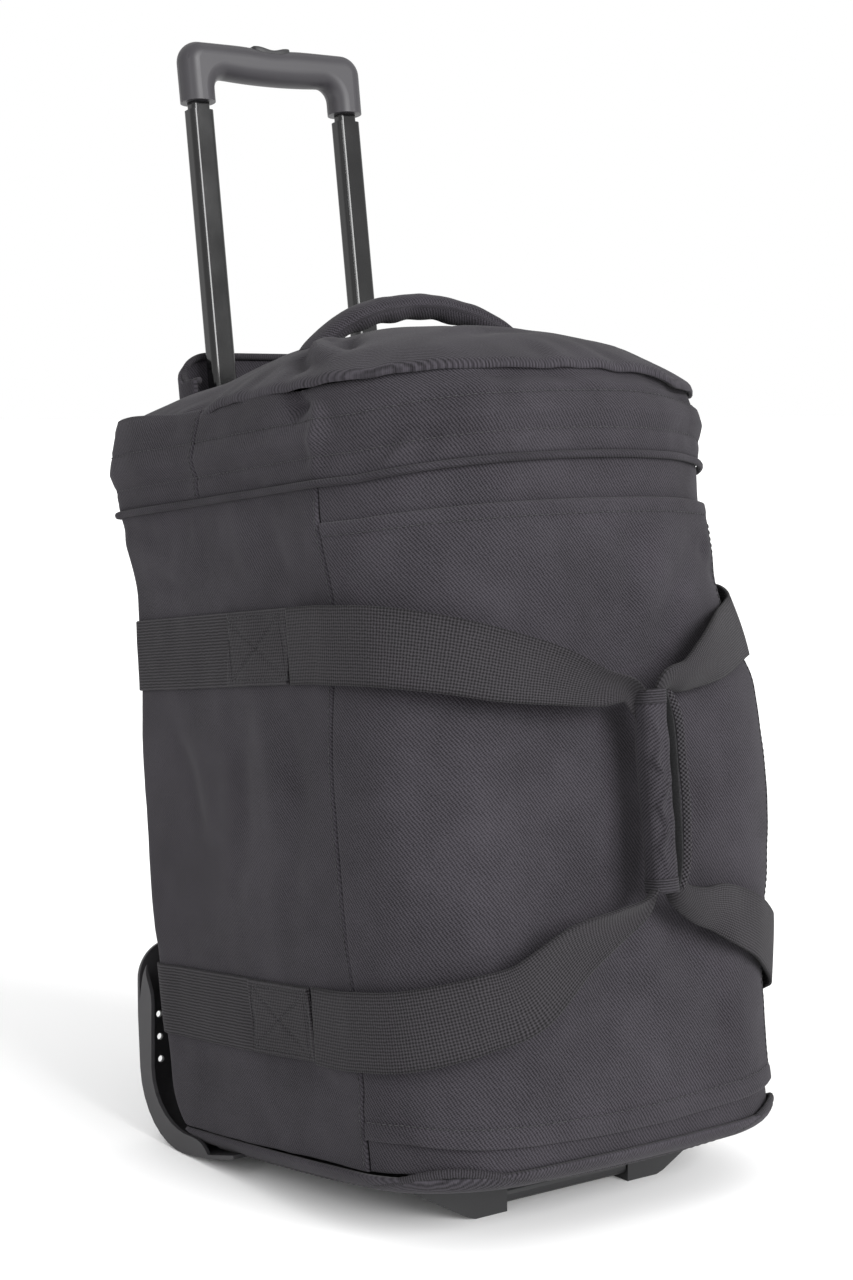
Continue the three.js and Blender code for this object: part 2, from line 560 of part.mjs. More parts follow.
function buildGrip() {
  const outline = new THREE.Shape();
  outline.moveTo(-79.5, 792);
  outline.lineTo(-52.3, 792);
  outline.lineTo(-52.3, 803);
  outline.absarc(-44.3, 803, 8, Math.PI, Math.PI / 2, true);
  outline.lineTo(44.3, 811);
  outline.absarc(44.3, 803, 8, Math.PI / 2, 0, true);
  outline.lineTo(52.3, 792);
  outline.lineTo(79.5, 792);
  outline.lineTo(79.5, 824);
  outline.absarc(65.5, 824, 14, 0, Math.PI / 2);
  outline.lineTo(-65.5, 838);
  outline.absarc(-65.5, 824, 14, Math.PI / 2, Math.PI);
  let cuts = boxSolid(-68.2, 68.2, TUBE_V - 2.4, TUBE_V + 2.4, 814, 824);
  const { half, depth, bottom, top, travel } = BUTTON;
  const recess = [-half - 0.4, half + 0.4, TUBE_V - depth - 0.4, TUBE_V + depth + 0.4];
  cuts = cuts.add(boxSolid(...recess, bottom - travel - 0.4, top + 4));
  for (const [, sign] of SIDES) {
    const socket = boxSolid(-8.05, 8.05, TUBE_V - 5.55, TUBE_V + 5.55, 790, 806);
    const shaft = boxSolid(-2.4, 2.4, TUBE_V - 2.4, TUBE_V + 2.4, 800, 824);
    cuts = cuts.add(socket.add(shaft).translate([sign * TUBE_X, 0, 0]));
  }
  const shells = [['grip_front', TUBE_V - 12, TUBE_V - 0.15], ['grip_rear', TUBE_V + 0.15, TUBE_V + 12]];
  for (const [name, y0, y1] of shells) {
    addSolid(trolley, name, toSolid(standing(outline, y0, y1, 5)).subtract(cuts), DARK_PLASTIC);
  }
  const button = box(-half, half, TUBE_V - depth, TUBE_V + depth, bottom, top);
  add(trolley, 'grip_button', button, DARK_PLASTIC);

  const turns = 3.5;
  const helix = [];
  for (let i = 0; i <= turns * 8; i++) {
    const angle = (i / 8) * 2 * Math.PI;
    helix.push(V(1.7 * Math.cos(angle), TUBE_V + 1.7 * Math.sin(angle), 814.8 + (i / (turns * 8)) * 8.3));
  }
  const wire = new THREE.Shape().absarc(0, 0, 0.4, 0, 2 * Math.PI);
  const extrudePath = new THREE.CatmullRomCurve3(helix);
  add(trolley, 'button_spring', new THREE.ExtrudeGeometry(wire, { steps: 28, curveSegments: 3, extrudePath }), STEEL);
}

buildPanels();
buildTrims();
buildBoards();
buildTopHandle();
buildLoops();
buildTray();
buildWheels();
buildFeet();
buildSliders();
buildTrolley();
buildGrip();

// ---- Origin: middle of the whole holdall's footprint, on the floor ----
holdall.updateMatrixWorld(true);
const bounds = new THREE.Box3().setFromObject(holdall, true);
holdall.position.set(-(bounds.min.x + bounds.max.x) / 2, -(bounds.min.y + bounds.max.y) / 2, -bounds.min.z);
holdall.updateMatrixWorld(true);

export default holdall;
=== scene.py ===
"""The looks of the wheeled holdall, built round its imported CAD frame.

Shapes are drawn in bag millimetres (x across, y to the back, z up along the bag) or in trolley
millimetres (x across, y = depth behind the trolley plane, z along the tubes), then placed in metres.
"""
import math

import bpy
import numpy as np
from mathutils import Matrix, Vector


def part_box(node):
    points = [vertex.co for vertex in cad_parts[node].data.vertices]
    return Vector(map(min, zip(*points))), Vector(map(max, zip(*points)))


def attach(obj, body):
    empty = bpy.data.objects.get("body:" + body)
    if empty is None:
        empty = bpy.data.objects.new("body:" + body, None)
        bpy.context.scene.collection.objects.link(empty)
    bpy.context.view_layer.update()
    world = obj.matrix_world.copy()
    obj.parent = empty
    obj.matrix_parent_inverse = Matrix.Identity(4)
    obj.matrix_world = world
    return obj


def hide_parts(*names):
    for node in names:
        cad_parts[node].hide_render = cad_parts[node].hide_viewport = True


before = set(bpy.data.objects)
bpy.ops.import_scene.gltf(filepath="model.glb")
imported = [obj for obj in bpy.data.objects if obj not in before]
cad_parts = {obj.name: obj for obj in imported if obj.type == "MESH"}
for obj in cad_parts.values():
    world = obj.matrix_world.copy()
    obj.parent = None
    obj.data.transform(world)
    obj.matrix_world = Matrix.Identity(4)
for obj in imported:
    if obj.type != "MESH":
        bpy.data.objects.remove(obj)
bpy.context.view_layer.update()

# ---- Driving dimensions in millimetres; LEAN and TROLLEY_TILT are angles in radians ----
MM = 0.001
LEAN = math.radians(6.6)
TROLLEY_TILT = 0.038
BACK_Y = 291.3
BACK_PROUD = 6.7
CHANNEL_HALF = 98
CHANNEL_DEPTH = -8
FOOT_Y = 50.5
BAG_BOTTOM = 36.5
BODY_BOTTOM = 46
PIPING_Z = 483
RIM_Z = 548
DOME_RISE = 38
DOME_CENTRE_Y = 145
SLEEVE_TOP = 603
HINGE_SEAM_Y = 47
FACING_EDGE_Y = 38
ZIP_Y = 43
SIDE_EDGE_Y = 48
PANEL_BOTTOM = 67
PANEL_TOP = 458
STRAP_HALF = 25
STRAP_LEVELS = {"upper": 381, "lower": 136}
STRAP_SEWN_TO_Y = 92.5
GUSSET_SEAM_Y = 203
UPPER_ROW = 524
LOWER_ROW = 500
WHEEL = {"x": 121, "y": 300, "z": 59, "well": 37}
TUBE_V = 5.6
SIDES = (("left", -1), ("right", 1))
SIGN = dict(SIDES)

# Body levels: height, half width, front face, front corner radius.
BODY_LEVELS = np.array([
    [36.5, 152, -16, 76], [39, 159, -24, 82], [46, 163, -28, 85], [68, 163, -30, 86],
    [136, 163, -30, 90], [200, 167, -34, 85], [270, 169, -37, 82], [330, 167, -34, 85],
    [381, 161.5, -28, 96], [430, 160.5, -26, 102], [483, 158, -24, 104], [497, 160.5, -27, 104],
    [525, 160.5, -26, 100], [540, 157, -23, 95], [548, 151, -17, 88],
])
FRONT_CROWN = 3
SIDE_SWELL = 2
REAR_CORNER = 12
REAR_BOTTOM = 44


def middle_x(*nodes):
    return sum((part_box(n)[0].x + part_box(n)[1].x) / 2 for n in nodes) / len(nodes)


foot_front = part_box("foot_left")[0].y
SHIFT = Vector((middle_x("wheel_tyre_left", "wheel_tyre_right"),
                foot_front - FOOT_Y * MM * math.cos(LEAN),
                FOOT_Y * MM * math.sin(LEAN)))
BAG = Matrix.Translation(SHIFT) @ Matrix.Rotation(-LEAN, 4, "X")
TROLLEY = BAG @ Matrix.Translation((0, BACK_Y * MM, 0)) @ Matrix.Rotation(-TROLLEY_TILT, 4, "X")


def placed(points, matrix):
    """Millimetre points of a bag or trolley frame as row-frame metres."""
    rotation = np.array(matrix.to_3x3())
    return np.asarray(points, float).reshape(-1, 3) @ rotation.T * MM + np.array(matrix.translation)


# ---- Noise and small shaping functions ----
LATTICE = 64


def smooth(t):
    t = np.clip(t, 0, 1)
    return t * t * (3 - 2 * t)


def bell(distance, width):
    return np.exp(-(distance / width) ** 2)


def mix(low, high, t):
    return low * (1 - t) + high * t


def unit(vectors):
    return vectors / np.maximum(np.linalg.norm(vectors, axis=-1, keepdims=True), 1e-9)


def joined(*coordinates):
    """Points from their coordinates, each an array or one number for all."""
    return np.stack(np.broadcast_arrays(*coordinates), -1)


def noise(u, v, scale, seed):
    """Smooth noise from -1 to 1 whose features are about scale mm across."""
    lattice = np.random.default_rng(seed).uniform(-1, 1, (LATTICE, LATTICE))
    a, b = np.asarray(u) / scale, np.asarray(v) / scale
    ia, ib = np.floor(a).astype(int), np.floor(b).astype(int)
    fa, fb = smooth(a - ia), smooth(b - ib)

    def corner(i, j):
        return lattice[(ia + i) % LATTICE, (ib + j) % LATTICE]

    return mix(mix(corner(0, 0), corner(1, 0), fa), mix(corner(0, 1), corner(1, 1), fa), fb)


def line_distance(u, v, points):
    """Distance to a polyline in the (u, v) plane, and how far along it (0 to 1) the nearest point is."""
    points = np.asarray(points, float)
    best = np.full(np.shape(u), 1e9)
    along = np.zeros(np.shape(u))
    count = len(points) - 1
    for i in range(count):
        (u0, v0), (u1, v1) = points[i], points[i + 1]
        du, dv = u1 - u0, v1 - v0
        t = np.clip(((u - u0) * du + (v - v0) * dv) / (du * du + dv * dv), 0, 1)
        d = np.hypot(u - u0 - t * du, v - v0 - t * dv)
        nearer = d < best
        best = np.where(nearer, d, best)
        along = np.where(nearer, (i + t) / count, along)
    return best, along


def folds(u, v, strokes):
    """Height of listed folds. A stroke is (height, width, points); it fades out at both ends."""
    total = np.zeros(np.shape(u))
    for height, width, points in strokes:
        distance, along = line_distance(u, v, points)
        fade = np.sqrt(np.clip(np.sin(np.pi * np.clip(along, 0.02, 0.98)), 0, 1))
        total += height * fade * bell(distance, width)
    return total


# ---- The skin of the bag: s runs round it from the middle of the front (right is +), z up it ----
STEP = 2.0
SKIN_Z = np.arange(BAG_BOTTOM, RIM_Z + 0.5 * STEP, STEP)
SKIN_S = np.arange(0, 661, STEP)


def back_face(z):
    below = np.clip(BAG_BOTTOM + REAR_BOTTOM - z, 0, REAR_BOTTOM)
    straight = BACK_Y + TROLLEY_TILT * z + BACK_PROUD
    return straight - REAR_BOTTOM + np.sqrt(REAR_BOTTOM**2 - below**2)


def blurred(values, sigma):
    reach = int(3 * sigma / STEP) + 1
    kernel = np.exp(-0.5 * (np.arange(-reach, reach + 1) * STEP / sigma) ** 2)
    return np.convolve(np.pad(values, reach, mode="edge"), kernel / kernel.sum(), mode="valid")


def rounded_levels(column):
    """One column of the body levels, eased between levels and left crisp at the bottom and the rim."""
    raw = np.interp(SKIN_Z, BODY_LEVELS[:, 0], BODY_LEVELS[:, column])
    middle = np.clip(np.minimum(SKIN_Z - BODY_BOTTOM, 535 - SKIN_Z) / 40, 0, 1)
    return mix(blurred(raw, 1.5), blurred(raw, 14), middle)


HALF, FRONT, RADIUS = (rounded_levels(column) for column in (1, 2, 3))


def half_ring(z, half, front, radius):
    """The left half of the outline at one height, from the middle of the front to the back."""
    back = back_face(z)
    t = np.linspace(0, 1, 40)[:-1]
    a = np.linspace(0, math.pi / 2, 50)[:-1]
    y = np.linspace(front + radius, back - REAR_CORNER, 60)[:-1]
    swell = SIDE_SWELL * np.sin(np.pi * (y - y[0]) / (back - REAR_CORNER - y[0]))
    line = np.concatenate([
        np.stack([-(half - radius) * t, front - FRONT_CROWN * (1 - t**2)], 1),
        np.stack([radius - half - radius * np.sin(a), front + radius - radius * np.cos(a)], 1),
        np.stack([-half - swell, y], 1),
        np.stack([REAR_CORNER - half - REAR_CORNER * np.cos(a),
                  back - REAR_CORNER + REAR_CORNER * np.sin(a)], 1),
        np.array([[REAR_CORNER - half, back], [-60, back]]),
    ])
    run = np.concatenate([[0], np.cumsum(np.hypot(*np.diff(line, axis=0).T))])
    return np.interp(SKIN_S, run, line[:, 0]), np.interp(SKIN_S, run, line[:, 1])


RINGS = np.array([half_ring(*level) for level in zip(SKIN_Z, HALF, FRONT, RADIUS)])
RING_X, RING_Y = RINGS[:, 0], RINGS[:, 1]


def ring_normals():
    along = joined(np.gradient(RING_X, STEP, axis=1), np.gradient(RING_Y, STEP, axis=1), 0.0)
    up = joined(np.gradient(RING_X, STEP, axis=0), np.gradient(RING_Y, STEP, axis=0), 1.0)
    return unit(-np.cross(along, up))


RING_N = ring_normals()


def looked_up(table, s, z):
    """Values of a table over SKIN_Z and SKIN_S, mixed between its entries; the right mirrors the left."""
    a = np.clip(np.abs(s) / STEP, 0, len(SKIN_S) - 1.001)
    b = np.clip((z - SKIN_Z[0]) / STEP, 0, len(SKIN_Z) - 1.001)
    ia, ib = a.astype(int), b.astype(int)
    fa, fb = a - ia, b - ib
    if table.ndim == 3:
        fa, fb = fa[..., None], fb[..., None]
    low = mix(table[ib, ia], table[ib, ia + 1], fa)
    high = mix(table[ib + 1, ia], table[ib + 1, ia + 1], fa)
    return mix(low, high, fb)


def skin_normal(s, z):
    normal = looked_up(RING_N, s, z)
    normal[..., 0] *= np.where(s > 0, -1, 1)
    return normal


def skin(s, z, out=0.0):
    """Points of the bag's skin, standing out from it by out mm."""
    s, z = np.broadcast_arrays(np.asarray(s, float), np.asarray(z, float))
    x = looked_up(RING_X, s, z) * np.where(s > 0, -1, 1)
    return joined(x, looked_up(RING_Y, s, z), z) + np.asarray(out)[..., None] * skin_normal(s, z)


def upright(sign, runs):
    """A line up one side: its s as a function of z, from its distance round the bag at every level."""
    return lambda z: sign * np.interp(z, SKIN_Z, runs)


def at_depth(y, sign):
    """The upright line y mm behind the front."""
    return upright(sign, [np.interp(min(y, row[-1] - 0.5), row, SKIN_S) for row in RING_Y])


def at_corner(angle, sign):
    """The upright line that lies angle degrees round the front corner."""
    return upright(sign, HALF - RADIUS + RADIUS * math.radians(angle))


def at_back(x, sign):
    """The upright line on the back that is x mm from the middle."""
    runs = []
    for row_x, row_y in zip(RING_X, RING_Y):
        behind = row_y >= row_y[-1] - 0.01
        runs.append(np.interp(-x, row_x[behind], SKIN_S[behind]))
    return upright(sign, runs)


def raised(s, z):
    """Cross seams arch up near the top of the front and hang down near its bottom."""
    front = np.clip(1 - (s / 168) ** 2, 0, 1)
    heights = [36, 60, 110, 300, 440, 464, 485, 530, 548]
    return z + front * np.interp(z, heights, [-9, -10, -3, 0, 4, 6, 9, 9, 2.5])


# ---- Relief of the fabric ----
SKIN_FOLDS = [
    # the pit at the left end of the top seam, the ridge below it and the creases above the piping
    (-9.0, 9, [(-210, 543), (-219, 536), (-230, 529)]),
    (4.0, 6, [(-203, 540), (-198, 528), (-200, 506), (-202, 486)]),
    (-1.8, 7, [(-190, 536), (-184, 518), (-186, 500)]),
    (-1.8, 5, [(-136, 506), (-150, 494), (-168, 484)]),
    (1.5, 5, [(-122, 508), (-136, 496), (-150, 486)]),
    (-1.6, 6, [(-112, 504), (-127, 486)]),
    (-1.2, 5, [(-57, 502), (-72, 490)]),
    (1.2, 5, [(-44, 504), (-58, 490)]),
    (-1.2, 5, [(6, 502), (-6, 489)]),
    (-2.0, 6, [(-310, 496), (-282, 489), (-258, 487)]),
    (-1.5, 8, [(-300, 530), (-262, 522), (-236, 524)]),
    # side panel: slack cloth between the piping and the straps
    (-2.6, 9, [(-443, 470), (-400, 462), (-352, 466)]),
    (2.0, 9, [(-430, 452), (-385, 440), (-340, 446)]),
    (-2.2, 8, [(-414, 434), (-372, 424), (-330, 430)]),
    (-2.0, 10, [(-270, 470), (-250, 444), (-236, 414)]),
    (1.6, 10, [(-298, 466), (-284, 440), (-262, 416)]),
    (-2.4, 14, [(-330, 350), (-318, 310), (-322, 262), (-340, 210)]),
    (2.0, 14, [(-292, 346), (-282, 300), (-286, 250)]),
    (-2.0, 12, [(-256, 330), (-250, 290), (-262, 240), (-276, 190)]),
    (-1.8, 10, [(-420, 330), (-396, 300), (-384, 250)]),
    (-1.6, 8, [(-268, 108), (-230, 96), (-196, 100)]),
    # front panel: drawn towards the two ends of the carry grip
    (-2.6, 11, [(96, 448), (74, 410), (44, 372), (24, 350)]),
    (2.2, 12, [(62, 452), (46, 418), (26, 386), (12, 362)]),
    (-1.8, 9, [(28, 446), (20, 412), (12, 378)]),
    (-1.6, 12, [(-24, 442), (-14, 408), (-4, 374)]),
    (1.6, 12, [(-58, 444), (-42, 410), (-22, 380)]),
    (-1.8, 14, [(-118, 432), (-92, 414), (-60, 396)]),
    (-2.4, 10, [(20, 196), (44, 164), (70, 126), (88, 98)]),
    (2.2, 11, [(4, 190), (14, 158), (34, 122)]),
    (-1.8, 11, [(-8, 188), (-24, 150), (-34, 112)]),
    (1.6, 12, [(-34, 176), (-60, 140), (-80, 104)]),
    (-1.8, 16, [(-160, 330), (-150, 280), (-148, 220)]),
    (1.4, 16, [(-120, 340), (-112, 280), (-120, 220)]),
    (-1.4, 7, [(-140, 96), (-80, 88), (-20, 92), (40, 86)]),
    (2.4, 8, [(118, 436), (112, 424), (112, 410)]),
    (-2.0, 7, [(96, 428), (112, 418), (126, 404)]),
]


def slack(s, z):
    """Broad shape: drawn in at the upper right corner, pushed out at the upper rear left."""
    right = smooth((s - 40) / 70) * smooth((300 - s) / 80)
    left = smooth((-s - 350) / 70)
    tucked = 8 * right * smooth((z - 325) / 90) + 2.5 * right * smooth((z - UPPER_ROW + 2) / 4)
    flat = 4 * smooth((-s - 330) / 90) * bell(z - 270, 110)
    return 8 * left * smooth((z - 425) / 60) - tucked - flat


def relief(s, z):
    soft = 1.6 * noise(s, z, 90, 1) + 1.1 * noise(s, z, 42, 2) + 0.45 * noise(s, z, 17, 3)
    return soft + slack(s, z) + folds(s, z, SKIN_FOLDS)


def puckers(s, z, row, depth=0.7, reach=7, seed=5):
    """A stitched row sits in a groove, with the cloth gathered a little on both sides of it."""
    gathered = noise(s, z * 0.35, 9, seed) + 0.6 * noise(s, z * 0.35, 23, seed + 1)
    return -depth * bell(z - row, 1.6) + 0.6 * depth * gathered * bell(z - row, reach)


def gusset_relief(s, z):
    heights = [483, 487, 494, 500, 512, 524, 530, 538, 545, 548]
    profile = [-2.0, -0.6, -0.4, -0.8, 2.4, -0.6, -1.6, -2.6, -1.2, -0.4]
    shape = np.interp(z, heights, profile)
    ruffle = 1.3 * noise(s + 0.9 * z, z - 0.5 * s, 22, 8) * bell(z - 536, 9)
    ruffle += 1.1 * noise(s - 0.8 * z, z + 0.4 * s, 20, 9) * bell(z - 492, 6)
    return shape + ruffle + puckers(s, z, UPPER_ROW) + puckers(s, z, LOWER_ROW, seed=11)


# ---- Materials ----
def node(tree, kind, *linked, **settings):
    """A shader node. linked are (input, source) pairs; settings are attributes or socket values."""
    made = tree.nodes.new(kind)
    for key, value in settings.items():
        if hasattr(made, key):
            setattr(made, key, value)
        else:
            made.inputs[key.replace("_", " ")].default_value = value
    for socket, source in linked:
        tree.links.new(source, made.inputs[socket])
    return made


def calc(tree, operation, a, b=None):
    made = tree.nodes.new("ShaderNodeMath")
    made.operation = operation
    for socket, value in zip(made.inputs, (a, b)):
        if isinstance(value, (int, float)):
            socket.default_value = value
        elif value is not None:
            tree.links.new(value, socket)
    return made.outputs[0]


def total_of(tree, first, *others):
    for other in others:
        first = calc(tree, "ADD", first, other)
    return first


def centred(tree, factor, gain):
    """A 0 to 1 factor moved to lie about zero, times gain."""
    return calc(tree, "MULTIPLY", calc(tree, "SUBTRACT", factor, 0.5), gain)


def speckle(tree, coordinates, scale, **settings):
    return node(tree, "ShaderNodeTexNoise", ("Vector", coordinates), Scale=scale, **settings).outputs["Fac"]


def plane_wave(tree, u, v, direction, period):
    """A sine wave of the given period (metres) across the (u, v) plane, from -1 to 1."""
    k = 2 * math.pi / period
    a = calc(tree, "MULTIPLY", u, k * direction[0])
    b = calc(tree, "MULTIPLY", v, k * direction[1])
    return calc(tree, "SINE", calc(tree, "ADD", a, b))


def shade(tree, base, factor, low, high):
    """Base colour darkened to low and lightened to high times itself by a 0 to 1 factor."""
    ramp = tree.nodes.new("ShaderNodeValToRGB")
    for element, gain in zip(ramp.color_ramp.elements, (low, high)):
        element.color = (*(c * gain for c in base), 1)
    tree.links.new(factor, ramp.inputs["Fac"])
    return ramp.outputs["Color"]


def start_material(name, roughness, **sockets):
    material = bpy.data.materials.new(name)
    material.use_nodes = True
    tree = material.node_tree
    shader = tree.nodes["Principled BSDF"]
    shader.inputs["Roughness"].default_value = roughness
    for key, value in sockets.items():
        shader.inputs[key.replace("_", " ")].default_value = value
    return material, tree, shader


def finish_material(tree, shader, color, height, strength, distance):
    tree.links.new(color, shader.inputs["Base Color"])
    bump = node(tree, "ShaderNodeBump", ("Height", height), Strength=strength, Distance=distance)
    tree.links.new(bump.outputs["Normal"], shader.inputs["Normal"])


def woven(name, base, waves, contrast, mottle, bump, on_object=False):
    """Cloth: waves are (direction, period in mm, weight) of its threads, over a soft mottling."""
    material, tree, shader = start_material(
        name, 1.0, Sheen_Weight=0.04, Sheen_Roughness=0.5, Specular_IOR_Level=0.12)
    coordinates = node(tree, "ShaderNodeTexCoord").outputs["Object" if on_object else "UV"]
    parts = node(tree, "ShaderNodeSeparateXYZ", ("Vector", coordinates))
    u, v = parts.outputs["X"], parts.outputs["Z" if on_object else "Y"]
    if on_object:
        u = calc(tree, "ADD", u, parts.outputs["Y"])
    slip = calc(tree, "MULTIPLY", speckle(tree, coordinates, 220.0, Detail=2.0), 1.1 * MM)
    u, v = calc(tree, "ADD", u, slip), calc(tree, "ADD", v, slip)
    threads = total_of(tree, *(
        calc(tree, "MULTIPLY", plane_wave(tree, u, v, direction, period * MM), weight)
        for direction, period, weight in waves))
    clouds = speckle(tree, coordinates, 14.0, Detail=5.0, Roughness=0.6)
    grit = speckle(tree, coordinates, 900.0, Detail=2.0)
    # Pointiness: ridges are lightened as edge wear, and creases and hollows are darkened as painted shade.
    lighter_ridges_and_crease_shade = node(tree, "ShaderNodeNewGeometry").outputs["Pointiness"]
    tone = total_of(tree, calc(tree, "MULTIPLY", threads, contrast), centred(tree, clouds, mottle),
                    centred(tree, grit, 0.9), centred(tree, lighter_ridges_and_crease_shade, 1.6), 0.5)
    height = calc(tree, "ADD", threads, calc(tree, "MULTIPLY", grit, 0.5))
    finish_material(tree, shader, shade(tree, base, tone, 0.3, 1.7), height, 0.6, bump * MM)
    return material


def moulded(name, base, roughness, bump=0.05, **sockets):
    """Plastic, rubber, paint or metal with a fine grain, slightly uneven gloss, a painted highlight on its
    edges and painted shade in its hollows.
    """
    material, tree, shader = start_material(name, roughness, **sockets)
    coordinates = node(tree, "ShaderNodeTexCoord").outputs["Object"]
    grain = speckle(tree, coordinates, 900.0, Detail=3.0)
    broad = speckle(tree, coordinates, 25.0, Detail=4.0)
    # Pointiness: edges are lightened as a painted highlight, and hollows are darkened as painted shade.
    lighter_ridges_and_crease_shade = node(tree, "ShaderNodeNewGeometry").outputs["Pointiness"]
    color = shade(tree, base, total_of(tree, broad, centred(tree, lighter_ridges_and_crease_shade, 1.2)), 0.85, 1.15)
    gloss = total_of(tree, centred(tree, broad, 0.2), roughness)
    tree.links.new(gloss, shader.inputs["Roughness"])
    finish_material(tree, shader, color, grain, 0.4, bump * MM)
    return material


CHARCOAL = (0.026, 0.0238, 0.028)
WEBBING = (0.0225, 0.021, 0.0232)
TWILL = [((0.8, 0.6), 1.9, 0.6), ((-0.45, 0.9), 1.2, 0.25)]
PLAIN = [((0, 1), 1.0, 0.3), ((1, 0), 1.0, 0.3)]
RIBS = [((0, 1), 2.1, 0.8), ((1, 0), 1.2, 0.12)]
GRID = [((0, 1), 2.1, 0.5), ((1, 0), 2.1, 0.5)]
HERRINGBONE = [((0.7, 0.7), 2.0, 0.6), ((0.7, -0.7), 2.0, 0.6)]
MATERIALS = {
    "fabric": woven("twill", CHARCOAL, TWILL, 0.5, 0.8, 0.16),
    "padding": woven("twill_padded", CHARCOAL, TWILL, 0.5, 0.8, 0.16),
    # Darker plain cloth for the inside of the wrap's flap: its dark colour is painted shade of the gap behind
    # the flap edge.
    "shaded_flap_inside": woven("shaded_flap_inside", (0.02, 0.02, 0.021), PLAIN, 0.2, 0.4, 0.05),
    "ribbed": woven("webbing_ribbed", WEBBING, RIBS, 0.5, 0.3, 0.3),
    "grid": woven("webbing_grid", WEBBING, GRID, 0.55, 0.3, 0.3),
    "tape": woven("grosgrain", (0.025, 0.0232, 0.0265), [((1, 0), 1.7, 0.7)], 0.45, 0.3, 0.25),
    "herringbone": woven("herringbone_tape", (0.024, 0.0225, 0.025), HERRINGBONE, 0.8, 0.3, 0.3),
    "thread": woven("thread", (0.05, 0.049, 0.052), [((1, 0.5), 0.5, 0.5)], 0.3, 0.2, 0.05, on_object=True),
    "tray_plastic": moulded("tray_plastic", (0.024, 0.023, 0.025), 0.5, Specular_IOR_Level=0.3),
    "dark_plastic": moulded("dark_plastic", (0.018, 0.018, 0.019), 0.5, Specular_IOR_Level=0.3),
    "grip_plastic": moulded("grip_plastic", (0.027, 0.0255, 0.029), 0.45, Specular_IOR_Level=0.35),
    "tube_paint": moulded("tube_paint", (0.003, 0.003, 0.0032), 0.14, bump=0.01, Specular_IOR_Level=0.45),
    "steel": moulded("plated_steel", (0.5, 0.5, 0.51), 0.35, bump=0.02, Metallic=1.0),
    "rubber": moulded("tyre_rubber", (0.02, 0.02, 0.021), 0.75, bump=0.1),
    "board": moulded("board", (0.1, 0.09, 0.07), 0.8, bump=0.2),
}


# ---- Mesh helpers ----
def piece(name, points, faces, matrix, body, material, uv=None, replaces=(), slot=None):
    """A named mesh riding on a body. uv holds one coordinate pair in metres for each vertex."""
    mesh = bpy.data.meshes.new(name)
    mesh.from_pydata(placed(points, matrix).tolist(), [], [tuple(map(int, f)) for f in faces])
    mesh.polygons.foreach_set("use_smooth", [True] * len(mesh.polygons))
    if uv is not None:
        corners = np.zeros(len(mesh.loops), np.int32)
        mesh.loops.foreach_get("vertex_index", corners)
        layer = mesh.uv_layers.new(name="cloth")
        layer.data.foreach_set("uv", np.asarray(uv, float).reshape(-1, 2)[corners].ravel())
    made = bpy.data.objects.new(name, mesh)
    bpy.context.scene.collection.objects.link(made)
    made.data.materials.append(MATERIALS[material])
    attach(made, body)
    if replaces:
        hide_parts(*replaces)
    return made


def grid_faces(rows, columns, around=False, flip=False):
    across = columns if around else columns - 1
    i, j = np.meshgrid(np.arange(rows - 1), np.arange(across), indexing="ij")
    a = (i * columns + j).ravel()
    b = (i * columns + (j + 1) % columns).ravel()
    quads = np.stack([a, b, b + columns, a + columns], 1)
    return quads[:, ::-1] if flip else quads


def last_ring(rows, columns):
    return tuple(range((rows - 1) * columns, rows * columns))


def add_modifier(made, kind, **settings):
    modifier = made.modifiers.new(kind.lower(), kind)
    for key, value in settings.items():
        setattr(modifier, key, value)


def thicken(made, thickness):
    add_modifier(made, "SOLIDIFY", thickness=thickness * MM, offset=-1)


def bag_sheet(name, points, faces, matrix, uv, replaced, thickness):
    """One of the bag's own fabric sheets, from a grid of points; uv is in millimetres."""
    made = piece(name, points.reshape(-1, 3), faces, matrix, "bag", "fabric", uv=uv * MM,
                 replaces=[replaced], slot="fabric")
    thicken(made, thickness)


def spaced(length, step, rim=(0.5, 1.2, 2.1, 3.2)):
    """Distances from 0 to length at about one step, with closer lines near both ends."""
    inner = np.linspace(0, length, max(int(length / step), 4) + 1)
    inner = inner[(inner > rim[-1] + 0.4 * step) & (inner < length - rim[-1] - 0.4 * step)]
    edge = np.array([0, *rim])
    return np.concatenate([edge, inner, length - edge[::-1]])


def rolled(distance, radius):
    """How far a rolled edge falls back at some distance from the edge."""
    d = np.clip(distance, 0, radius)
    return radius - np.sqrt(radius**2 - (radius - d) ** 2)


def patch(name, left, right, bottom, top, body, material, shape=None, step=2.6, roll=2.2, thickness=3.5,
          keep=None, **links):
    """A sewn panel between two upright lines and two heights, with rolled edges."""
    z = bottom + spaced(top - bottom, step)
    width = float(np.mean(right(z) - left(z)))
    t = spaced(width, step) / width
    z, t = np.meshgrid(z, t, indexing="ij")
    s = mix(left(z), right(z), t)
    edge = np.minimum.reduce([z - bottom, top - z, s - left(z), right(z) - s])
    out = relief(s, z) - rolled(edge, roll)
    if shape:
        out = out + shape(s, z)
    points = skin(s, raised(s, z), out).reshape(-1, 3)
    faces = grid_faces(*z.shape)
    if keep is not None:
        faces = faces[keep(points[faces].mean(1))]
    made = piece(name, points, faces, BAG, body, material, uv=joined(s, z) * MM, **links)
    thicken(made, thickness)


def even(height):
    """A relief of the same height everywhere."""
    return lambda s, z: height


def frames_along(path, up):
    """Side and up vectors at every point of a path."""
    tangent = unit(np.gradient(path, axis=0))
    up = np.broadcast_to(np.asarray(up, float), path.shape)
    up = unit(up - (up * tangent).sum(1, keepdims=True) * tangent)
    return np.cross(tangent, up), up


def run_length(path):
    return np.concatenate([[0], np.cumsum(np.linalg.norm(np.diff(path, axis=0), axis=1))])


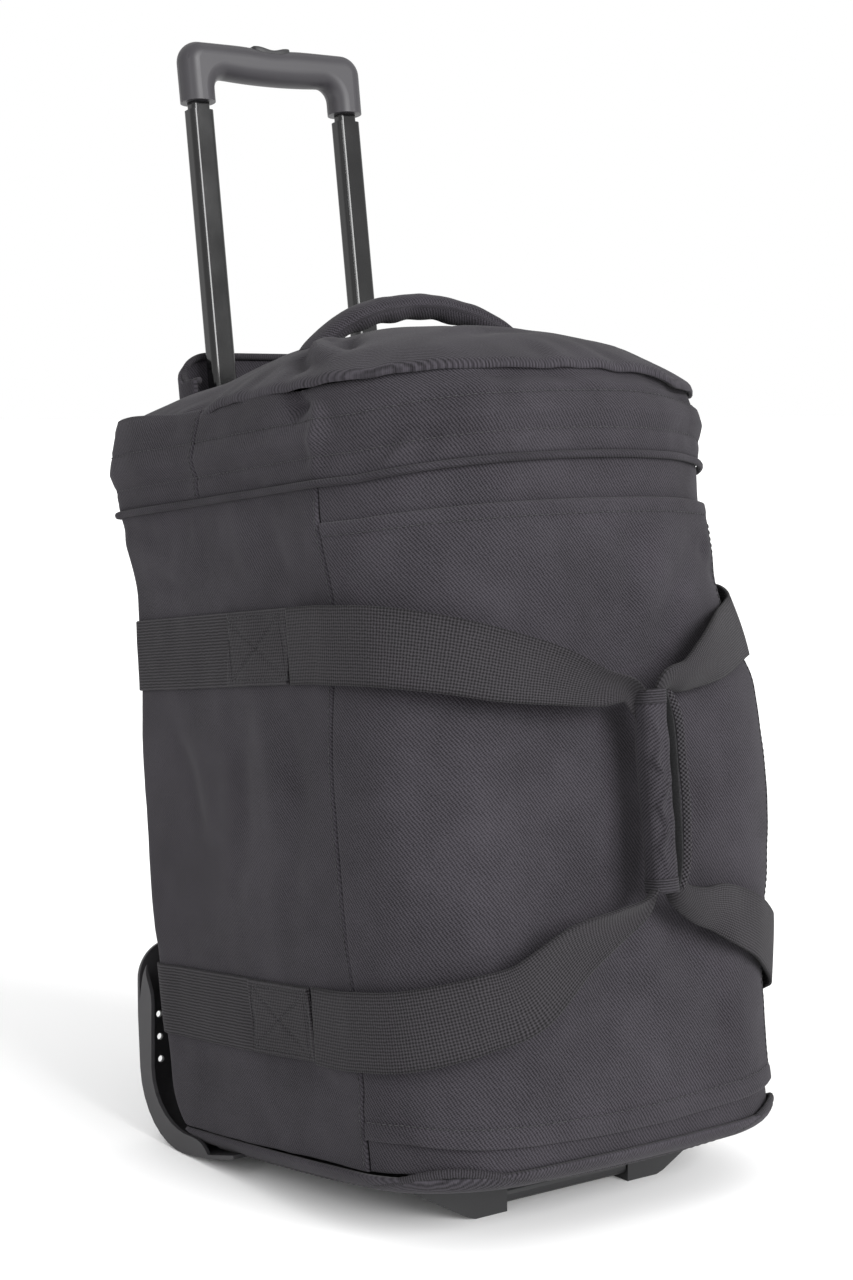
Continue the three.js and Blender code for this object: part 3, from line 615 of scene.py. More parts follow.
def sweep(name, path, section, up, matrix, body, material, **links):
    """A capped section swept along a path. section is (K, 2), or (N, K, 2) to change along the way."""
    path = np.asarray(path, float)
    section = np.asarray(section, float)
    if section.ndim == 2:
        section = np.broadcast_to(section, (len(path), *section.shape))
    side, up = frames_along(path, up)
    points = path[:, None] + section[..., :1] * side[:, None] + section[..., 1:] * up[:, None]
    rows, columns = points.shape[:2]
    faces = grid_faces(rows, columns, around=True).tolist()
    faces += [tuple(range(columns))[::-1], last_ring(rows, columns)]
    girth = run_length(np.vstack([section[0], section[0][:1]]))[:-1]
    uv = joined(run_length(path)[:, None], girth) * MM
    return piece(name, points.reshape(-1, 3), faces, matrix, body, material, uv=uv, **links)


def ellipse(half_width, half_height, count):
    a = np.linspace(0, 2 * math.pi, count, endpoint=False)
    return np.stack([half_width * np.cos(a), half_height * np.sin(a)], 1)


def rounded_rectangle(width, height, radius, steps):
    corners = []
    for cx, cy, start in ((1, 1, 0), (-1, 1, 90), (-1, -1, 180), (1, -1, 270)):
        a = np.radians(start + np.linspace(0, 90, steps))
        corners.append(np.stack([cx * (width / 2 - radius) + radius * np.cos(a),
                                 cy * (height / 2 - radius) + radius * np.sin(a)], 1))
    return np.concatenate(corners)


def spline(points, count):
    """A smooth curve through rows of numbers (points, widths and so on)."""
    p = np.asarray(points, float)
    p = np.vstack([2 * p[0] - p[1], p, 2 * p[-1] - p[-2]])
    t = np.linspace(0, len(p) - 3 - 1e-6, count)
    i = t.astype(int)
    t = (t - i)[:, None]
    a, b, c, d = p[i], p[i + 1], p[i + 2], p[i + 3]
    return 0.5 * (2 * b + (c - a) * t + (2 * a - 5 * b + 4 * c - d) * t**2 + (3 * b - a - 3 * c + d) * t**3)


STITCH_PITCH = 4.4
STITCH_LENGTH = 3.0
# One thread grain: the place of each ring along it, its size and its lift, in parts of the length or radius.
GRAIN = np.array([[0, 0.15, 0.1], [0.12, 0.8, 0.5], [0.5, 1.0, 0.75], [0.88, 0.8, 0.5], [1, 0.15, 0.1]])


def stitches(name, path, normals, body, matrix=BAG, radius=0.42, **links):
    """A row of short thread grains lying along a path."""
    path, normals = np.asarray(path, float), np.asarray(normals, float)
    run = run_length(path)
    points, faces = [], []
    for start in np.arange(0.7, run[-1] - STITCH_LENGTH, STITCH_PITCH):
        at = start + STITCH_LENGTH * GRAIN[:, 0]
        centre, normal = (np.stack([np.interp(at, run, row) for row in rows.T], 1)
                          for rows in (path, normals))
        side = np.cross(unit(centre[-1] - centre[0]), normal[2])
        first = len(points)
        for k, (_, size, lift) in enumerate(GRAIN):
            for a in np.radians([0, 72, 144, 216, 288]):
                ring = math.cos(a) * side + math.sin(a) * normal[k]
                points.append(centre[k] + lift * radius * normal[k] + size * radius * ring)
        faces += (grid_faces(5, 5, around=True) + first).tolist()
    return piece(name, points, faces, matrix, body, "thread", **links)


# ---- Upright lines of the body ----
FLAP_ANGLE = 40
REAR_SEAM_X = 148
BINDING_END_Y = 281
STRAIGHT_SEAM = at_depth(HINGE_SEAM_Y, -1)
FLAP_EDGE = at_corner(FLAP_ANGLE, 1)
FACING_EDGE = at_depth(FACING_EDGE_Y, 1)
ZIP_LINE = at_depth(ZIP_Y, 1)
SIDE_EDGE = at_depth(SIDE_EDGE_Y, 1)
REAR_LEFT, REAR_RIGHT = at_back(REAR_SEAM_X, -1), at_back(REAR_SEAM_X, 1)
BINDING_LEFT, BINDING_RIGHT = at_depth(BINDING_END_Y, -1), at_depth(BINDING_END_Y, 1)
CHANNEL_LEFT, CHANNEL_RIGHT = at_back(CHANNEL_HALF, -1), at_back(CHANNEL_HALF, 1)
GUSSET_LEFT, GUSSET_RIGHT = at_depth(GUSSET_SEAM_Y, -1), at_depth(GUSSET_SEAM_Y, 1)


def hinge_seam(z):
    """The left seam of the front panel leans back towards the side near its top."""
    return STRAIGHT_SEAM(z) - 14 * smooth((np.asarray(z, float) - 395) / 75)


def outside_wells(centres):
    """True for faces that stay clear of the two wheel wells."""
    beside = np.abs(np.abs(centres[:, 0]) - WHEEL["x"]) > 21
    away = np.hypot(centres[:, 1] - WHEEL["y"], centres[:, 2] - WHEEL["z"]) > WHEEL["well"]
    return beside | away


# ---- Fabric panels ----
def side_relief(s, z):
    """Side panels are drawn in under the piping and hollow between their edges."""
    return -1.2 * bell(z - 476, 12) + 0.4 * noise(s, z, 11, 30) * bell(z - 470, 20)


def panel_relief(s, z):
    """The front panel stands proud as a flap, flush only at its sewn left seam, with stitched hems."""
    from_seam = s - hinge_seam(z)
    proud = 2.6 * smooth(from_seam / 60)
    top_hem = 0.7 * smooth((z - PANEL_TOP + 10) / 1.2)
    bottom_hem = 0.7 * smooth((PANEL_BOTTOM + 13 - z) / 1.2)
    rows = puckers(s, z, PANEL_TOP - 9, 0.6, 5, 41) + puckers(s, z, PANEL_BOTTOM + 12, 0.8, 6, 43)
    return proud + top_hem + bottom_hem + rows + 1.2 * noise(s, z, 60, 44)


def build_panels():
    cloth = dict(body="bag", material="fabric", slot="fabric")
    whole = dict(cloth, bottom=BODY_BOTTOM, top=PIPING_Z, keep=outside_wells)
    side = dict(whole, shape=side_relief)
    patch("side_left_cloth", REAR_LEFT, hinge_seam, replaces=["side_panel_left"], **side)
    patch("side_right_cloth", SIDE_EDGE, REAR_RIGHT, replaces=["side_panel_right"], **side)
    back = dict(whole, step=4, replaces=["back_panel"])
    patch("back_left_cloth", CHANNEL_LEFT, REAR_LEFT, **back)
    patch("back_right_cloth", REAR_RIGHT, CHANNEL_RIGHT, **back)

    sunk = dict(cloth, left=hinge_seam, right=SIDE_EDGE, shape=even(-1.6))
    patch("fascia_lower_cloth", bottom=BODY_BOTTOM, top=PANEL_BOTTOM + 6,
          replaces=["front_fascia_lower"], **sunk)
    patch("fascia_upper_cloth", bottom=PANEL_TOP - 6, top=PIPING_Z,
          replaces=["front_fascia_upper"], **sunk)

    flap = dict(cloth, body="front_panel", replaces=["front_panel"])
    patch("front_panel_cloth", hinge_seam, FLAP_EDGE, PANEL_BOTTOM, PANEL_TOP, shape=panel_relief,
          step=2.2, thickness=4, **flap)
    patch("front_panel_facing", lambda z: FLAP_EDGE(z) - 4, FACING_EDGE, PANEL_BOTTOM + 1, PANEL_TOP - 1,
          shape=even(-0.6), thickness=3, **flap)

    gusset = dict(cloth, bottom=PIPING_Z, top=RIM_Z, shape=gusset_relief, replaces=["top_gusset"])
    patch("gusset_front_cloth", GUSSET_LEFT, GUSSET_RIGHT, step=2.0, **gusset)
    patch("gusset_rear_left_cloth", CHANNEL_LEFT, GUSSET_LEFT, **gusset)
    patch("gusset_rear_right_cloth", GUSSET_RIGHT, CHANNEL_RIGHT, **gusset)


RING_COUNT = 420
BEHIND_COUNT = 40


def closed_ring(z):
    """The whole outline at one height, with the same number of points at every height."""
    front = skin(np.linspace(CHANNEL_LEFT(z), CHANNEL_RIGHT(z), RING_COUNT), z)
    x = np.linspace(CHANNEL_HALF, -CHANNEL_HALF, BEHIND_COUNT + 2)[1:-1]
    return np.concatenate([front, joined(x, front[0, 1], z)])


DOME_FOLDS = [
    (7.0, 6, [(-134, 62), (-124, 88), (-112, 112), (-92, 124)]),
    (-5.5, 7, [(-140, 84), (-130, 108), (-114, 130)]),
    (-5.5, 7, [(-118, 62), (-108, 86), (-94, 100)]),
    (-2.0, 7, [(-60, 20), (-30, 34), (10, 36)]),
    (2.0, 7, [(-70, 34), (-36, 46), (0, 50)]),
    (-2.4, 6, [(40, 96), (62, 66), (74, 34)]),
    (2.0, 6, [(56, 100), (78, 70), (88, 40)]),
    (-2.6, 5, [(90, 40), (104, 22), (112, 8)]),
    (-2.0, 8, [(-130, 170), (-110, 180), (-86, 176)]),
    (1.8, 9, [(-128, 200), (-108, 208), (-80, 200)]),
]


def dome_height(t, x, y):
    """Height of the top: lower at its front right and rear left, pulled up at the handle's left end."""
    height = RIM_Z + DOME_RISE * (1 - t**3.1)
    height = height - 2.5 * smooth(x / 50) * smooth((110 - y) / 50)
    height = height - 11 * smooth((-x - 62) / 40) * smooth((y - 170) / 55)
    return height + 2.5 * bell(x + 80, 42) * bell(y - 150, 85)


def dome_points():
    """Rings of the domed top from the rim to the middle, with the fold relief along their normals."""
    rim = closed_ring(RIM_Z)
    s = np.linspace(CHANNEL_LEFT(RIM_Z), CHANNEL_RIGHT(RIM_Z), RING_COUNT)
    lift = raised(s, RIM_Z) - RIM_Z
    s, lift = (np.concatenate([row, np.zeros(BEHIND_COUNT)]) for row in (s, lift))
    t = np.concatenate([[1, 0.997, 0.992, 0.985, 0.975], np.linspace(0.96, 0.02, 56)])[:, None]
    centre = np.array([0, DOME_CENTRE_Y, 0])
    points = centre + t[..., None] * (rim - centre)
    points[..., 2] = dome_height(t, points[..., 0], points[..., 1]) + lift * t**6
    normal = unit(np.cross(np.gradient(points, axis=0), np.gradient(points, axis=1)))
    normal *= np.sign(normal[len(t) // 2, RING_COUNT // 4, 2])
    x, y = points[..., 0], points[..., 1]
    soft = 1.2 * noise(x, y, 95, 51) + 0.9 * noise(x, y, 45, 52) + 0.4 * noise(x, y, 18, 53)
    from_rim = 140 * (1 - t)
    pleats = 1.4 * noise(s, from_rim * 0.3, 15, 54) * bell(from_rim - 9, 14)
    out = soft * smooth(from_rim / 25) + slack(s, RIM_Z) * t**3 + pleats
    out += folds(x, y, DOME_FOLDS) - rolled(from_rim, 2.4)
    points = points + out[..., None] * normal
    notch = smooth((CHANNEL_HALF + 5 - np.abs(points[..., 0])) / 8)
    limit = BACK_Y + TROLLEY_TILT * points[..., 2] + CHANNEL_DEPTH
    points[..., 1] -= notch * np.maximum(points[..., 1] - limit, 0)
    return points


def build_dome():
    points = dome_points()
    rows, columns = points.shape[:2]
    faces = grid_faces(rows, columns, around=True, flip=True).tolist() + [last_ring(rows, columns)]
    bag_sheet("dome_cloth", points, faces, BAG, points[..., :2], "top_panel", 3.5)


def build_bottom():
    levels = (BODY_BOTTOM, 44, 42, 40, 38.5, 37.4)
    rings = [closed_ring(z) for z in levels]
    centre = np.array([0, 130, BAG_BOTTOM + 0.4])
    rings += [centre + t * (rings[-1] - centre) * [1, 1, 0] for t in np.linspace(0.985, 0.03, 40)]
    points = np.array(rings)
    flat = points[len(levels):]
    flat[..., 2] += 0.8 * noise(flat[..., 0], flat[..., 1], 60, 61)
    faces = grid_faces(*points.shape[:2], around=True)
    faces = faces[outside_wells(points.reshape(-1, 3)[faces].mean(1))]
    bag_sheet("bottom_cloth", points, faces, BAG, points[..., :2], "bottom_panel", 3)


def build_channel():
    """The recessed fabric channel down the back, behind the tubes."""
    inner, outer = CHANNEL_HALF - 0.4, CHANNEL_HALF + 0.6
    corner = [[-outer, BACK_PROUD - 1], [-inner, BACK_PROUD - 2.5], [-inner, -5], [-inner + 2, CHANNEL_DEPTH]]
    across = np.array(corner + [[x, CHANNEL_DEPTH] for x in np.linspace(-88, 88, 45)]
                      + [[-x, v] for x, v in corner[::-1]])
    w = np.arange(BODY_BOTTOM + 4, RIM_Z + 10, 4.0)[:, None]
    points = joined(across[:, 0], across[:, 1], w)
    points[..., 1] += 0.5 * noise(points[..., 0], points[..., 2], 40, 71)
    bag_sheet("channel_cloth", points, grid_faces(*points.shape[:2]), TROLLEY, joined(run_length(across), w),
              "back_panel", 3)


# ---- Trims and seams ----
def skin_path(s, z, out, extra=None):
    """A path on the finished fabric, and the skin normals along it."""
    height = relief(s, z) + out + (extra(s, z) if extra else 0)
    lifted = raised(s, z)
    return skin(s, lifted, height), skin_normal(s, lifted)


def build_trims():
    s = np.arange(CHANNEL_LEFT(PIPING_Z), CHANNEL_RIGHT(PIPING_Z), 3.0)
    path, normals = skin_path(s, np.full_like(s, PIPING_Z), 0.9)
    sweep("piping_cord", path, ellipse(2.5, 2.3, 10), normals, BAG, "bag", "fabric",
          replaces=["top_piping"], slot="trim")

    s = np.arange(BINDING_LEFT(BAG_BOTTOM + 3.5), BINDING_RIGHT(BAG_BOTTOM + 3.5), 3.0)
    z = BAG_BOTTOM - 0.5 + 13 * bell(np.abs(s) - 140, 48)
    ribs = 1 + 0.08 * np.cos(math.pi * np.arange(len(s)))
    sweep("bottom_binding_bead", skin(s, z, 1.2), ellipse(3.0, 2.0, 10)[None] * ribs[:, None, None],
          skin_normal(s, z), BAG, "bag", "tape", replaces=["bottom_binding"], slot="trim")


def stitch_row(name, s, z, shape, body="bag", out=0.1):
    s, z = np.broadcast_arrays(s, z)
    path, normals = skin_path(s, z, out, shape)
    stitches(name, path, normals, body, slot="trim")


def build_stitching():
    s = np.arange(CHANNEL_LEFT(UPPER_ROW) + 4, CHANNEL_RIGHT(UPPER_ROW) - 4, 2.0)
    for name, row in (("row_upper", UPPER_ROW), ("row_lower", LOWER_ROW)):
        stitch_row(f"gusset_stitches_{name}", s, float(row), gusset_relief)
    z = np.arange(PIPING_Z + 4, RIM_Z - 4, 2.0)
    for side, line in (("left", GUSSET_LEFT), ("right", GUSSET_RIGHT)):
        stitch_row(f"gusset_stitches_{side}", line(z) + SIGN[side] * 4, z, gusset_relief)
    z = np.arange(BODY_BOTTOM + 4, PIPING_Z - 4, 2.0)
    stitch_row("hinge_seam_stitches", hinge_seam(z) - 3, z, side_relief, out=0.05)
    rows = {"top": PANEL_TOP - 9, "bottom": PANEL_BOTTOM + 12}
    for name, row in rows.items():
        s = np.arange(hinge_seam(row) + 3, FLAP_EDGE(row) - 3, 2.0)
        stitch_row(f"panel_stitches_{name}", s, float(row), panel_relief, "front_panel")
    z = np.arange(rows["bottom"], rows["top"], 2.0)
    stitch_row("panel_stitches_edge", FLAP_EDGE(z) - 6, z, panel_relief, "front_panel")


# ---- Webbing ----
BOX_LENGTH = 74


def box_lines(level, side):
    """The stitched box with a cross where a carry loop is sewn to the body strap, as (s, z) lines."""
    sign = SIGN[side]
    low, high = STRAP_LEVELS[level] - STRAP_HALF + 4, STRAP_LEVELS[level] + STRAP_HALF - 4
    near = float(at_depth(STRAP_SEWN_TO_Y, sign)(STRAP_LEVELS[level])) + sign * 5
    far = near + sign * (BOX_LENGTH - 8)
    corners = {"a": (near, low), "b": (near, high), "c": (far, high), "d": (far, low)}
    return [(corners[first], corners[last]) for first, last in ("ab", "bc", "cd", "da", "ac", "bd")]


def build_sewn_strap(level, side):
    """A body strap, the end of the carry loop sewn over it, and the stitches through both."""
    sign = SIGN[side]
    low, high = STRAP_LEVELS[level] - STRAP_HALF, STRAP_LEVELS[level] + STRAP_HALF
    front_line, back_line = at_depth(STRAP_SEWN_TO_Y, sign), at_back(CHANNEL_HALF + 2, sign)
    lines = box_lines(level, side)
    grooves = [(-0.9, 1.3, line) for line in lines]

    def end_line(z):
        return front_line(z) + sign * BOX_LENGTH

    def end_relief(s, z):
        return 3.9 + folds(s, z, grooves) + 0.25 * noise(s, z, 11, 77)

    patch(f"webbing_{level}_{side}", *(back_line, front_line)[::-sign], low, high, "bag", "ribbed",
          shape=even(2.2), step=3, roll=0.9, thickness=2, replaces=[f"strap_{level}_{side}"], slot="webbing")
    patch(f"loop_end_{level}_{side}", *(end_line, front_line)[::-sign], low + 0.5, high - 0.5, "bag", "grid",
          shape=end_relief, step=1.5, roll=0.9, thickness=1.6, slot="webbing")
    for k, (start, end) in enumerate(lines):
        s, z = np.linspace(start, end, 30).T
        path, normals = skin_path(s, z, -0.1, end_relief)
        stitches(f"box_stitches_{level}_{side}_{k}", path, normals, "bag", radius=0.4, slot="webbing")


# Carry loops: x, y, rise towards mid height, width, lean. The right loop lies close to the corner.
LEFT_HEAD = [(166.8, 90, 0, 50, 0), (167.8, 62, 0, 50, 0), (168, 40, 1, 50, 0), (162.5, 6, 3, 50, 0),
             (149, -19, 7, 49, 0), (128, -39, 13, 47, 0), (100, -51, 21, 44, 0)]
RIGHT_HEAD = [(166.8, 90, 0, 50, 0), (168.2, 66, 0, 50, 0)]
LOOP_RUNS = {
    ("left", "upper"): LEFT_HEAD + [(66, -58, 29, 36, 0.2), (38, -63, 37, 25, 0.4)],
    ("left", "lower"): LEFT_HEAD + [(66, -58, 46, 36, 0.2), (38, -63, 59, 25, 0.4)],
    ("right", "upper"): RIGHT_HEAD + [
        (166.8, 45, 1, 49, -0.12), (158.6, 22.6, 4, 46, -0.2), (144, 1.2, 6, 43, -0.26),
        (127.2, -13.6, 9, 41, -0.26), (102.6, -32.6, 14, 41, -0.18), (80, -47, 21, 40, 0),
        (60, -56, 29, 33, 0.2), (38, -62, 37, 23, 0.4)],
    ("right", "lower"): RIGHT_HEAD + [
        (166.8, 43, 3, 50, 0.06), (160.2, 18.8, 8, 48, 0.1), (148, -4.4, 14, 45, 0.1),
        (132.4, -20.8, 24, 42, 0.1), (107, -39, 38, 40, 0.06), (81, -49, 49, 38, 0),
        (60, -56, 56, 32, 0.2), (38, -62, 60, 25, 0.4)],
}
LOOP_THICKNESS = 2.2
GRIP_Y = -66


def loop_stations(side, level, grip_x):
    """One run of a carry loop, from its sewn end into the wrap: x, y, z, width, lean."""
    sign = SIGN[side]
    rise, grip_z = (-1, 341) if level == "upper" else (1, 205)
    stations = [(sign * x, y, STRAP_LEVELS[level] + rise * dz, width, lean)
                for x, y, dz, width, lean in LOOP_RUNS[side, level]]
    stations.append((grip_x + sign * 12, GRIP_Y, grip_z, 17, 0.6))
    stations.append((grip_x, GRIP_Y, grip_z + 14 * rise, 14, 0.6))
    return stations


def build_loop(side, grip_x):
    for level in STRAP_LEVELS:
        rows = spline(loop_stations(side, level, grip_x), 150)
        path, width, lean = rows[:, :3], rows[:, 3:4], rows[:, 4:]
        path[:, 1] += 0.7 * noise(run_length(path), 0.0, 55, 81)
        run = np.gradient(path, axis=0)
        outward = np.stack([run[:, 1], -run[:, 0]], 1)
        outward = unit(outward * np.sign((outward * (path[:, :2] - [0, 100])).sum(1, keepdims=True)))
        across = np.hstack([np.sin(lean) * outward, np.cos(lean)])
        v = np.linspace(-0.5, 0.5, 13)
        curl = 4 * (v * 2) ** 2 * smooth((50 - width) / 20)
        top = joined(curl + LOOP_THICKNESS / 2, v * width)
        under = joined(curl - LOOP_THICKNESS / 2, v * width)[:, ::-1]
        sweep(f"loop_{level}_{side}", path, np.concatenate([top, under], 1), across, BAG, f"handle_{side}",
              "grid", replaces=[f"handle_strap_{side}"], slot="webbing")


WRAP_MIDDLE = (-1.2, -67.5)
WRAP_Z = 275
WRAP_FOLDS = [
    (2.4, 2.0, [(-6, 322), (-2, 306), (-6, 294), (2, 280), (-5, 266), (0, 252), (-6, 240), (-1, 224)]),
    (-1.8, 1.8, [(-3, 320), (2, 304), (-2, 292), (6, 277), (-1, 263), (4, 249), (-2, 236), (3, 222)]),
    (1.2, 2.2, [(-7, 300), (-3, 288), (-7, 276)]),
    (-1.0, 1.8, [(-7, 262), (-4, 252), (-7, 244)]),
]


def wrap_core_sections(z):
    """The outline of the wrap at each height: it bulges, has rolled ends and is wrinkled in front."""
    outline = rounded_rectangle(18.5, 18.5, 7, 12)
    bulge = 1 + 0.05 * np.cos((z - WRAP_Z) / 64 * math.pi / 2)
    ends = np.where((z < 211.4) | (z > 338.6), 0.9, 1.0)
    across, height = np.broadcast_arrays(outline[:, 0], z[:, None])
    front = smooth((outline[:, 1] + 3) / 6)
    wrinkle = folds(across, height, WRAP_FOLDS) * front - 0.9 * bell(across - 6.4, 0.8) * front
    wrinkle = wrinkle + 0.7 * noise(across * 2, height + outline[:, 1], 13, 91)
    rim = smooth(np.minimum(z - 211, 339 - z) / 10)
    return outline * (bulge * ends)[:, None, None] + unit(outline) * (wrinkle * rim[:, None])[..., None]


def build_wrap():
    """The padded wrap round both grips: a soft core, bound ends and an open flap with a taped edge."""
    riding = dict(matrix=BAG, body="handle_left")
    z = np.concatenate([[211.2, 211.4], np.arange(212, 338.1, 1.3), [338.6, 338.8]])
    wrap = sweep("grip_wrap", joined(*WRAP_MIDDLE, z), wrap_core_sections(z), (0, -1, 0), material="padding",
                 replaces=["handle_wrap"], slot="fabric", **riding)
    for name, low in (("lower", 211), ("upper", 330)):
        z = np.linspace(low, low + 9, 25)
        ribs = 1 + 0.02 * np.cos(np.arange(len(z)) * math.pi / 2)
        band = rounded_rectangle(19.6, 20.6, 8, 9) * ribs[:, None, None]
        sweep(f"wrap_binding_{name}", joined(*WRAP_MIDDLE, z), band, (0, -1, 0), material="tape", slot="trim",
              **riding)
    z = np.linspace(213, 337, 90)
    bow = 7.0 * np.clip(np.abs(z - WRAP_Z) / 62, 0, 1) ** 5
    ribs = 1 + 0.1 * np.cos(np.arange(len(z)) * math.pi)
    tape = rounded_rectangle(5.6, 2.6, 1.2, 4) * ribs[:, None, None] ** [0, 1]
    sweep("wrap_flap_edge", joined(16.4 - bow, 0.5 * bow - 75.4 + 0.5 * np.sin(z / 9), z), tape,
          (-0.583, -0.813, 0), material="herringbone", slot="trim", **riding)
    # The flap's inside, between the core and the taped edge, is made darker than the cloth as painted shade
    # of that gap.
    sweep("wrap_flap_shaded_inside", joined(11.0 - 0.8 * bow, -66.8, z), rounded_rectangle(1.6, 15, 0.7, 3),
          (0.35, -0.94, 0), material="shaded_flap_inside", slot="fabric", **riding)


# The top handle: x, z, half width, half height.
HANDLE_Y = 152.0
HANDLE_ROWS = [
    (-98, 578, 12, 5), (-88, 586, 13, 6.5), (-70, 597, 12, 8), (-46, 607, 11, 8.8), (-20, 612, 10.5, 9),
    (0, 613, 10.5, 9), (20, 612, 10.5, 9), (45, 606.5, 11, 9), (66, 598, 12, 8), (84, 588.5, 13, 5),
    (97, 580, 13, 3),
]


def build_top_handle():
    x, z, half_width, half_height = spline(HANDLE_ROWS, 120).T[..., None]
    around = np.linspace(0, 2 * math.pi, 28, endpoint=False)
    crumple = 0.7 * noise(x, around * 9, 11, 95) + 0.9 * noise(x + around * 4, around * 4, 19, 96)
    underside = 0.9 * np.cos(x / 4.2) * bell(around - 1.5 * math.pi, 0.9)
    seam = -1.3 * bell(around - 0.25, 0.16)
    swell = (crumple + underside) * smooth((90 - np.abs(x)) / 30) + seam
    section = joined((half_width + swell) * np.cos(around), (half_height + 0.8 * swell) * np.sin(around))
    handle = sweep("top_handle_padded", joined(x, HANDLE_Y, z)[:, 0], section, (0, 0, 1), BAG, "bag",
                   "padding", replaces=["top_handle"], slot="fabric")


# ---- Zip ----
COIL_PITCH = 2.2


def build_zip():
    patch("zip_tape", FACING_EDGE, SIDE_EDGE, PANEL_BOTTOM, PANEL_TOP, "bag", "tape", shape=even(-1.2),
          step=4, roll=0.4, thickness=1.2, replaces=["zip_chain"], slot="dark_plastic")
    z = np.arange(PANEL_BOTTOM + 2, PANEL_TOP - 2, COIL_PITCH / 4)
    for side, offset, phase in (("left", -1.3, 0), ("right", 1.3, 1.1)):
        turn = 2 * math.pi * z / COIL_PITCH + phase
        s = ZIP_LINE(z) + offset + 0.9 * np.cos(turn)
        path = skin(s, z, relief(s, z) - 0.6 + 0.8 * np.sin(turn))
        sweep(f"zip_coil_{side}", path, ellipse(0.45, 0.45, 6), skin_normal(s, z), BAG, "bag", "dark_plastic",
              slot="dark_plastic")


# ---- CAD nodes that stay ----
SHARP_ANGLE = math.radians(35)
# Material, bevel (none: sharp edges kept), bevel segments, nodes; {side} and {level} stand for both of them.
FINISHES = [
    ("tray_plastic", None, 0, ["wheel_tray"]),
    ("dark_plastic", 1.6, 3, ["foot_{side}"]),
    ("dark_plastic", 0.8, 3, ["foot_bar"]),
    ("dark_plastic", 1.2, 3, ["trolley_bezel", "trolley_bracket"]),
    ("board", 1.0, 3, ["base_board", "back_board"]),
    ("tube_paint", None, 0, ["housing_tube_{side}", "inner_tube_{side}", "middle_tube_{side}"]),
    ("dark_plastic", 0.4, 2, ["middle_glide_{side}", "inner_glide_{side}"]),
    ("dark_plastic", 0.5, 2, ["wheel_hub_{side}"]),
    ("rubber", 0.6, 2, ["wheel_tyre_{side}"]),
    ("steel", 0.4, 2, ["axle_{side}"]),
    ("steel", 0.3, 2, ["foot_screw_{side}", "release_rod_{side}"]),
    ("steel", None, 0, ["button_spring"]),
    ("steel", 1.2, 3, ["zip_slider_{level}"]),
    ("steel", 0.5, 2, ["zip_puller_{level}"]),
]


def finish_node(name, material, bevel, segments):
    """Smooth shading, a procedural material and, given a bevel, softened edges."""
    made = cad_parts[name]
    made.data.materials.clear()
    made.data.materials.append(MATERIALS[material])
    made.data.polygons.foreach_set("material_index", [0] * len(made.data.polygons))
    if bevel:
        add_modifier(made, "BEVEL", width=bevel * MM, segments=segments, limit_method="ANGLE",
                     angle_limit=SHARP_ANGLE, harden_normals=True)
    else:
        made.data.set_sharp_from_angle(angle=SHARP_ANGLE)
    made.data.polygons.foreach_set("use_smooth", [True] * len(made.data.polygons))


def finish_nodes():
    for material, bevel, segments, names in FINISHES:
        both = {name.format(side=side, level=level) for name in names
                for side, level in (("left", "upper"), ("right", "lower"))}
        for name in sorted(both):
            finish_node(name, material, bevel, segments)


# ---- Trolley sleeve and grip ----
def build_sleeve():
    """The fabric cover over the trolley, open at its arched top, with a bound rim."""
    bottom, length = 72, 520
    edge = [[-95, -7.4], [-95.3, 0], [-95, 11], [-93.5, 16.5], [-90, 20.5], [-84, 22.6], [-76, 23]]
    corners = np.array(edge + [[-x, v] for x, v in edge[::-1]])
    run = run_length(corners)
    u = np.linspace(0, run[-1], 110)
    across, depth = np.interp(u, run, corners[:, 0]), np.interp(u, run, corners[:, 1])
    beyond = np.clip(np.abs(across) - 67, 0, 28)
    top = SLEEVE_TOP - 28 + np.sqrt(28.5**2 - beyond**2)
    w = bottom + (spaced(length, 4) / length)[:, None] * (top - bottom)
    points = joined(across, depth, w)
    seam = -1.2 * bell(np.abs(across) - 62, 1.8) * (depth > 18)
    points[..., 1] += 0.8 * noise(u, w, 60, 101) * smooth((depth - 5) / 10) + seam
    bag_sheet("sleeve_cloth", points, grid_faces(*w.shape), TROLLEY, joined(u, w), "trolley_sleeve", 3.5)
    rim = points[-1].copy()
    at_side = (np.abs(rim[:, 0]) > 90).astype(float)
    rim += 1.7 * joined(-np.sign(rim[:, 0]) * at_side, at_side - 1, 0.0)
    sweep("sleeve_rim", rim, ellipse(2.6, 2.4, 10), (0, -1, 0.02), TROLLEY, "bag", "tape", slot="trim")
    path = joined(np.linspace(-58, 58, 60), 23.4, SLEEVE_TOP - 8)
    stitches("sleeve_stitches", path, np.tile([0.0, 1.0, 0.0], (60, 1)), "bag", TROLLEY, slot="trim")


LEG_BOTTOM = 792
LEG_MIDDLE = 65.85
LEG_HALF = 13.35
LEG_TOP = 800


def arc(cx, cw, radius, start, end):
    a = np.radians(np.linspace(start, end, 14))
    return np.stack([cx + radius * np.cos(a), cw + radius * np.sin(a)], 1)


def grip_outline():
    """The U of the trolley grip in (x, w), evenly spaced, legs run on below so they can be cut flat."""
    sag = np.linspace(-1, 1, 30)[1:-1]
    under = np.stack([42 * sag, 811 - 1.6 * (1 - sag**2)], 1)
    top = np.stack([-62 * sag, 838 - 1.2 * bell(62 * sag, 15)], 1)
    line = np.concatenate([[[-79.2, 780], [-52.5, 780]], arc(-43.5, 802, 9, 180, 90), under,
                           arc(43.5, 802, 9, 90, 0), [[52.5, 780], [79.2, 780]],
                           arc(63.5, 822, 16, 0, 90), top, arc(-63.5, 822, 16, 90, 180), [[-79.2, 780]]])
    run = run_length(line)
    at = np.linspace(0, run[-1], 420, endpoint=False)
    return np.stack([np.interp(at, run, line[:, 0]), np.interp(at, run, line[:, 1])], 1)


